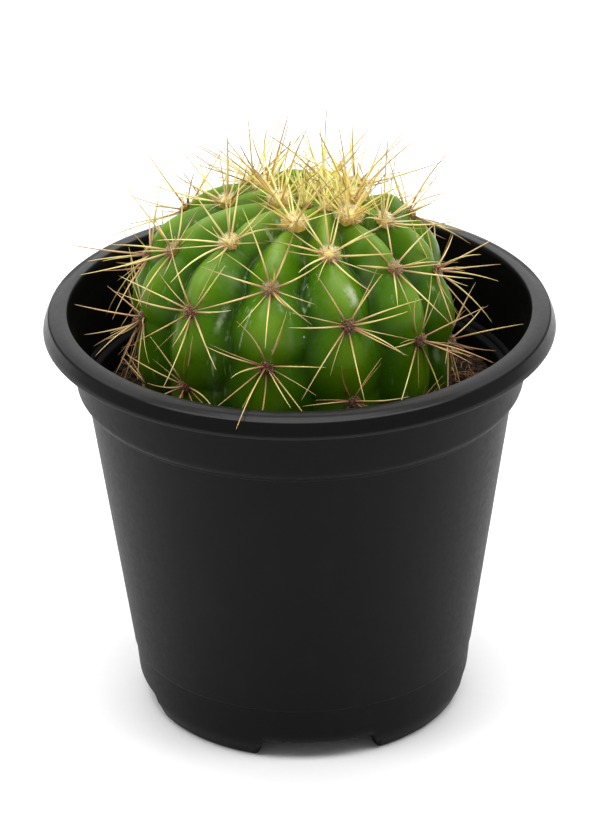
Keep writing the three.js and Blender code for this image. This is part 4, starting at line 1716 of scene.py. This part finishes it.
@dataclass
class PottingMix:
    """The soil: a plug that fills the pot, with crumbs and fibres on its top."""

    pot: NurseryPot
    body: Body
    rim_z: float = 75.9
    rise: float = 0.9
    rise_start: float = 48.0
    rise_width: float = 15.0
    bump_heights: tuple[float, ...] = (0.35, 0.22, 0.12)
    bump_sizes: tuple[float, ...] = (9.0, 3.1, 1.3)
    bump_seeds: tuple[int, ...] = (41, 42, 43)
    middle_tone: float = 0.45
    tone_variation: float = 0.35
    tone_size: float = 2.5
    gap: float = 0.3
    lower_edge: float = 1.0
    upper_edge: float = 0.6
    wall_rings: int = 18
    top_rings: int = 34
    hole_rings: int = 11
    hole_lead: float = 4.0
    azimuth_step: float = 1.0
    crumb_count: int = 2600
    crumb_ring: Range = (31.0, 46.6)
    crumb_size: float = 0.35
    crumb_size_spread: float = 0.95
    crumb_size_power: float = 2.5
    crumb_squash: float = 0.7
    crumb_dents: float = 0.22
    crumb_dent_scale: float = 2.1
    crumb_dent_size: float = 2.3
    crumb_tilts: tuple[float, ...] = (0.25, 0.5, 0.75)
    crumb_sides: int = 6
    fibre_count: int = 420
    fibre_ring: Range = (33.0, 45.5)
    fibre_bounds: Range = (33.5, 46.8)
    fibre_length: float = 3.0
    fibre_length_spread: float = 9.0
    fibre_curl: float = 150.0
    fibre_arch: float = 0.25
    fibre_arch_spread: float = 1.3
    fibre_lift: float = 0.1
    fibre_radius: float = 0.07
    fibre_radius_spread: float = 0.12
    fibre_taper: float = 0.6
    fibre_rings: int = 8
    fibre_sides: int = 4
    earth: SoilFinish = SoilFinish("potting_soil", (0.005, 0.003, 0.002), (0.036, 0.02, 0.011))
    coir: SoilFinish = SoilFinish("coir_fibres", (0.05, 0.02, 0.008), (0.26, 0.13, 0.06))

    def top_z(self, place: np.ndarray) -> np.ndarray:
        """The top's height: it rises evenly towards the plant and ripples at three scales.

        Args:
            place: Places, with the three coordinates last.

        Returns:
            The height at each place.
        """
        distance = np.hypot(place[..., 0], place[..., 1])
        toward = np.clip((self.rise_start - distance) / self.rise_width, 0.0, 1.0)
        flat = place * np.array([1.0, 1.0, 0.0])
        scales = zip(self.bump_heights, self.bump_sizes, self.bump_seeds)
        bumps = sum(height * ripple(flat, size, seed) for height, size, seed in scales)
        return self.rim_z + self.rise * toward + bumps

    def plug(self) -> Tubes:
        """Up the pot's inside, across the uneven top and down the hole that holds the plant.

        Returns:
            One closed tube with the field tone.
        """
        floor_z = self.pot.floor_underside_z + self.pot.wall + self.gap
        wall_z = np.linspace(floor_z + self.lower_edge, self.rim_z - self.upper_edge, self.wall_rings)
        wall_radius = self.pot.inside(wall_z) - self.gap
        wall_radius[0] = self.pot.floor_radius
        hidden = self.body.outline[0, -1] - self.body.shown_arc
        arc = self.body.shown_arc + (np.arange(-3.0, self.hole_rings + 1.0) / self.hole_rings) * hidden
        hole_radius, hole_z = self.body.outline_at(np.maximum(arc, self.body.shown_arc - self.hole_lead))
        top_radius = np.linspace(wall_radius[-1], hole_radius[0] + self.gap, self.top_rings)
        hole_radius, hole_z = hole_radius[2:-1] + self.gap, hole_z[2:-1] - self.gap
        first_radius = self.pot.floor_radius - 3.0 * self.gap
        radius = np.concatenate([[first_radius], wall_radius, top_radius, hole_radius])
        z = np.concatenate([[floor_z], wall_z, np.full(self.top_rings, np.nan), hole_z])
        growing = np.linspace(0.0, 1.0, self.top_rings)
        shift = np.concatenate([np.zeros(len(wall_z) + 1), growing, np.ones(len(hole_z))])
        rings = outward(np.arange(0.0, 360.0, self.azimuth_step)) * radius[:, None, None]
        rings = rings + shift[:, None, None] * np.array([self.body.axis_x, self.body.axis_y, 0.0])
        rings[..., 2] = np.where(np.isnan(z)[:, None], self.top_z(rings), np.nan_to_num(z)[:, None])
        last = np.array([[self.body.axis_x, self.body.axis_y, self.body.root_tip_z - self.gap]])
        tone = np.clip(self.middle_tone + self.tone_variation * ripple(rings, self.tone_size, 44), 0.0, 1.0)
        return Tubes(rings[None], floor_z * UPRIGHT[None], last, {"tone": tone[None]})

    def scatter(self, count: int, seed: float, bounds: Range) -> np.ndarray:
        """Places on the top, spread evenly over the ring between the plant and the wall.

        Args:
            count: How many.
            seed: Picks the series of draws.
            bounds: The ring's inner and outer radius.

        Returns:
            Places, (count, 3).
        """
        inner, outer = bounds
        number = np.arange(count)
        radius = np.sqrt(inner**2 + (outer**2 - inner**2) * chance(number, 1, seed))
        place = outward(360.0 * chance(number, 2, seed)) * radius[:, None]
        place[:, 2] = self.top_z(place)
        return place

    def crumbs(self) -> Tubes:
        """Lumpy pebbles: squashed spheres of few faces, each turned and dented in its own way.

        Returns:
            One closed tube of three rings for each crumb.
        """
        number = np.arange(self.crumb_count)
        place = self.scatter(self.crumb_count, 51.0, self.crumb_ring)
        drawn = chance(number, 3, 52.0) ** self.crumb_size_power
        size = self.crumb_size + self.crumb_size_spread * drawn
        tilt = np.array(self.crumb_tilts)[:, None] * np.pi
        turn = 2.0 * np.pi * np.arange(self.crumb_sides) / self.crumb_sides
        flat = np.sin(tilt)
        ball = np.stack([flat * np.cos(turn), flat * np.sin(turn), np.cos(tilt) + 0.0 * turn], -1)
        stretch = self.crumb_squash * (1.0 + chances(number, 4, 53.0))
        shaped = ball[None] * (size[:, None] * stretch)[:, None, None]
        spin = 2.0 * np.pi * chance(number, 5, 56.0)
        cos, sin = np.cos(spin)[:, None, None], np.sin(spin)[:, None, None]
        x = shaped[..., 0] * cos - shaped[..., 1] * sin
        y = shaped[..., 0] * sin + shaped[..., 1] * cos
        rings = np.stack([x, y, shaped[..., 2]], -1) + place[:, None, None]
        wave = ripple(rings * self.crumb_dent_scale, self.crumb_dent_size, 57)
        dents = self.crumb_dents * size[:, None, None, None] * wave[..., None]
        pole = (size * stretch[:, 2])[:, None] * UPRIGHT
        tone = spread(chance(number, 6, 58.0), rings)
        return Tubes(rings + dents, place + pole, place - pole, {"tone": tone})

    def fibres(self) -> Tubes:
        """Thin curling strands that lie on and stick out of the soil.

        Each is an arc whose bearing turns evenly, held between two radii and arched by half a sine.

        Returns:
            One closed tube for each strand.
        """
        number = np.arange(self.fibre_count)
        place = self.scatter(self.fibre_count, 61.0, self.fibre_ring)
        heading = 360.0 * chance(number, 7, 62.0)
        curl = self.fibre_curl * (chance(number, 8, 63.0) - 0.5)
        length = self.fibre_length + self.fibre_length_spread * chance(number, 9, 64.0)
        share = np.linspace(0.0, 1.0, self.fibre_rings)
        step = outward(heading[:, None] + curl[:, None] * share) * (length / len(share))[:, None, None]
        path = place[:, None] + np.cumsum(step, 1) - step.sum(1, keepdims=True) / 2.0
        distance = np.hypot(path[..., 0], path[..., 1])
        path[..., :2] *= (np.clip(distance, *self.fibre_bounds) / distance)[..., None]
        arch = self.fibre_arch + self.fibre_arch_spread * chance(number, 10, 65.0)
        path[..., 2] = self.top_z(path) + arch[:, None] * np.sin(np.pi * share) + self.fibre_lift
        around = ring_round(unit(np.gradient(path, axis=1)), self.fibre_sides)
        radius = self.fibre_radius + self.fibre_radius_spread * chance(number, 11, 66.0)
        radius = radius[:, None] * (1.0 - self.fibre_taper * share)
        rings = path[:, :, None] + around * radius[..., None, None]
        return Tubes(rings, path[:, 0], path[:, -1], {"tone": spread(chance(number, 12, 67.0), rings)})

    def build(self) -> list[bpy.types.Object]:
        """The plug, its crumbs and its fibres.

        Returns:
            The finished pieces; the plug replaces the construction's soil.
        """
        earth = self.earth.material()
        plug = make_object("soil_plug", [self.plug()], earth)
        crumbs = make_object("soil_crumbs", [self.crumbs()], earth)
        fibres = make_object("soil_fibres", [self.fibres()], self.coir.material())
        return [dress(plug, Slot.SOIL, "soil"), dress(crumbs, Slot.SOIL), dress(fibres, Slot.SOIL)]


@dataclass
class BarrelCactus:
    """The whole plant."""

    pot: NurseryPot
    body: Body = field(default_factory=Body)

    def build(self) -> list[bpy.types.Object]:
        """The body, its wool and its spines, which together replace the construction's plant.

        Returns:
            The three finished pieces.
        """
        body = make_object("cactus_body", [self.body.mesh()], CactusSkinFinish().material())
        dress(body, Slot.SKIN, "cactus")
        areoles = Areoles(self.body)
        wool = Wool(areoles).build()
        spines = Spines(areoles, self.pot).build()
        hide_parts("cactus")
        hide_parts("cactus")
        return [body, wool, spines]


@dataclass(frozen=True)
class SoftBox:
    """A square soft light that points at the plant.

    Attributes:
        name: The light's name.
        place: Where it hangs, in metres.
        size: The side of its square, in metres.
        power: Watts.
    """

    name: str
    place: Triple
    size: float
    power: float


@dataclass
class Studio:
    """A pale floor, soft lights all round, and the camera of the photograph.

    The floor's reach, the lights' target and the camera's clipping are in metres.
    """

    pitch: float = 26.92
    roll: float = -0.69
    camera_x: float = -0.14
    camera_distance: float = 1054.0
    target_z: float = 72.98
    focal_pixels: float = 4460.0
    frame_height_pixels: int = 822
    sensor: float = 36.0
    clip: Range = (0.05, 50.0)
    floor_reach: float = 4.0
    sky: float = 0.39
    boxes: tuple[SoftBox, ...] = (
        SoftBox("top_box", (0.0, -0.05, 2.4), 2.4, 78.0),
        SoftBox("back_box", (0.0, 1.9, 1.3), 1.9, 20.0),
        SoftBox("left_box", (-1.3, -0.55, 1.6), 0.8, 11.0),
        SoftBox("right_box", (1.3, -0.5, 1.6), 0.8, 11.0),
    )
    light_target: Triple = (0.0, 0.0, 0.1)

    def camera(self) -> None:
        """Looks down at the pot from the front, with a slight roll."""
        pitch, roll = math.radians(self.pitch), math.radians(self.roll)
        forward = np.array([0.0, math.cos(pitch), -math.sin(pitch)])
        level_up = np.array([0.0, math.sin(pitch), math.cos(pitch)])
        level_right = np.array([1.0, 0.0, 0.0])
        right = math.cos(roll) * level_right + math.sin(roll) * level_up
        up = math.cos(roll) * level_up - math.sin(roll) * level_right
        target = np.array([self.camera_x, 0.0, self.target_z])
        place = (target - forward * self.camera_distance) * MM
        data = bpy.data.cameras.new("camera")
        data.sensor_width = self.sensor
        data.lens = self.focal_pixels * self.sensor / self.frame_height_pixels
        data.clip_start, data.clip_end = self.clip
        camera = link_object("camera", data)
        camera.matrix_world = pointed(right, up, -forward, place)
        bpy.context.scene.camera = camera

    def floor(self) -> None:
        """A large flat square on the ground."""
        reach = self.floor_reach
        corners = [(-reach, -reach, 0.0), (reach, -reach, 0.0), (reach, reach, 0.0), (-reach, reach, 0.0)]
        mesh = bpy.data.meshes.new("pale_floor")
        mesh.from_pydata(corners, [], [(0, 1, 2, 3)])
        mesh.materials.append(FloorFinish().material())
        link_object("pale_floor", mesh)

    def lights(self) -> None:
        """An even pale sky and the soft boxes."""
        world = bpy.data.worlds.new("studio")
        world.use_nodes = True
        background = world.node_tree.nodes["Background"]
        background.inputs["Color"].default_value = (1.0, 1.0, 1.0, 1.0)
        background.inputs["Strength"].default_value = self.sky
        bpy.context.scene.world = world
        for box in self.boxes:
            data = bpy.data.lights.new(box.name, "AREA")
            data.size = box.size
            data.energy = box.power
            lamp = link_object(box.name, data)
            back = unit(np.array(box.place) - np.array(self.light_target))
            lamp.matrix_world = pointed(*across(back), back, np.array(box.place))
            lamp.visible_camera = False

    def build(self) -> None:
        """Sets up the camera, the floor and the lights, with plain unfiltered tones."""
        bpy.context.scene.view_settings.view_transform = "Standard"
        self.camera()
        self.floor()
        self.lights()


def main() -> None:
    """Builds the studio, the pot, its soil and the plant, and reports each piece."""
    logging.basicConfig(level=logging.INFO, format="%(name)s: %(message)s")
    Studio().build()
    pot = NurseryPot()
    cactus = BarrelCactus(pot)
    pieces = [pot.build(), *PottingMix(pot, cactus.body).build(), *cactus.build()]
    LOG.info("%d pieces on %s", len(pieces), ROOT_BODY)


if __name__ == "__main__":
    main()
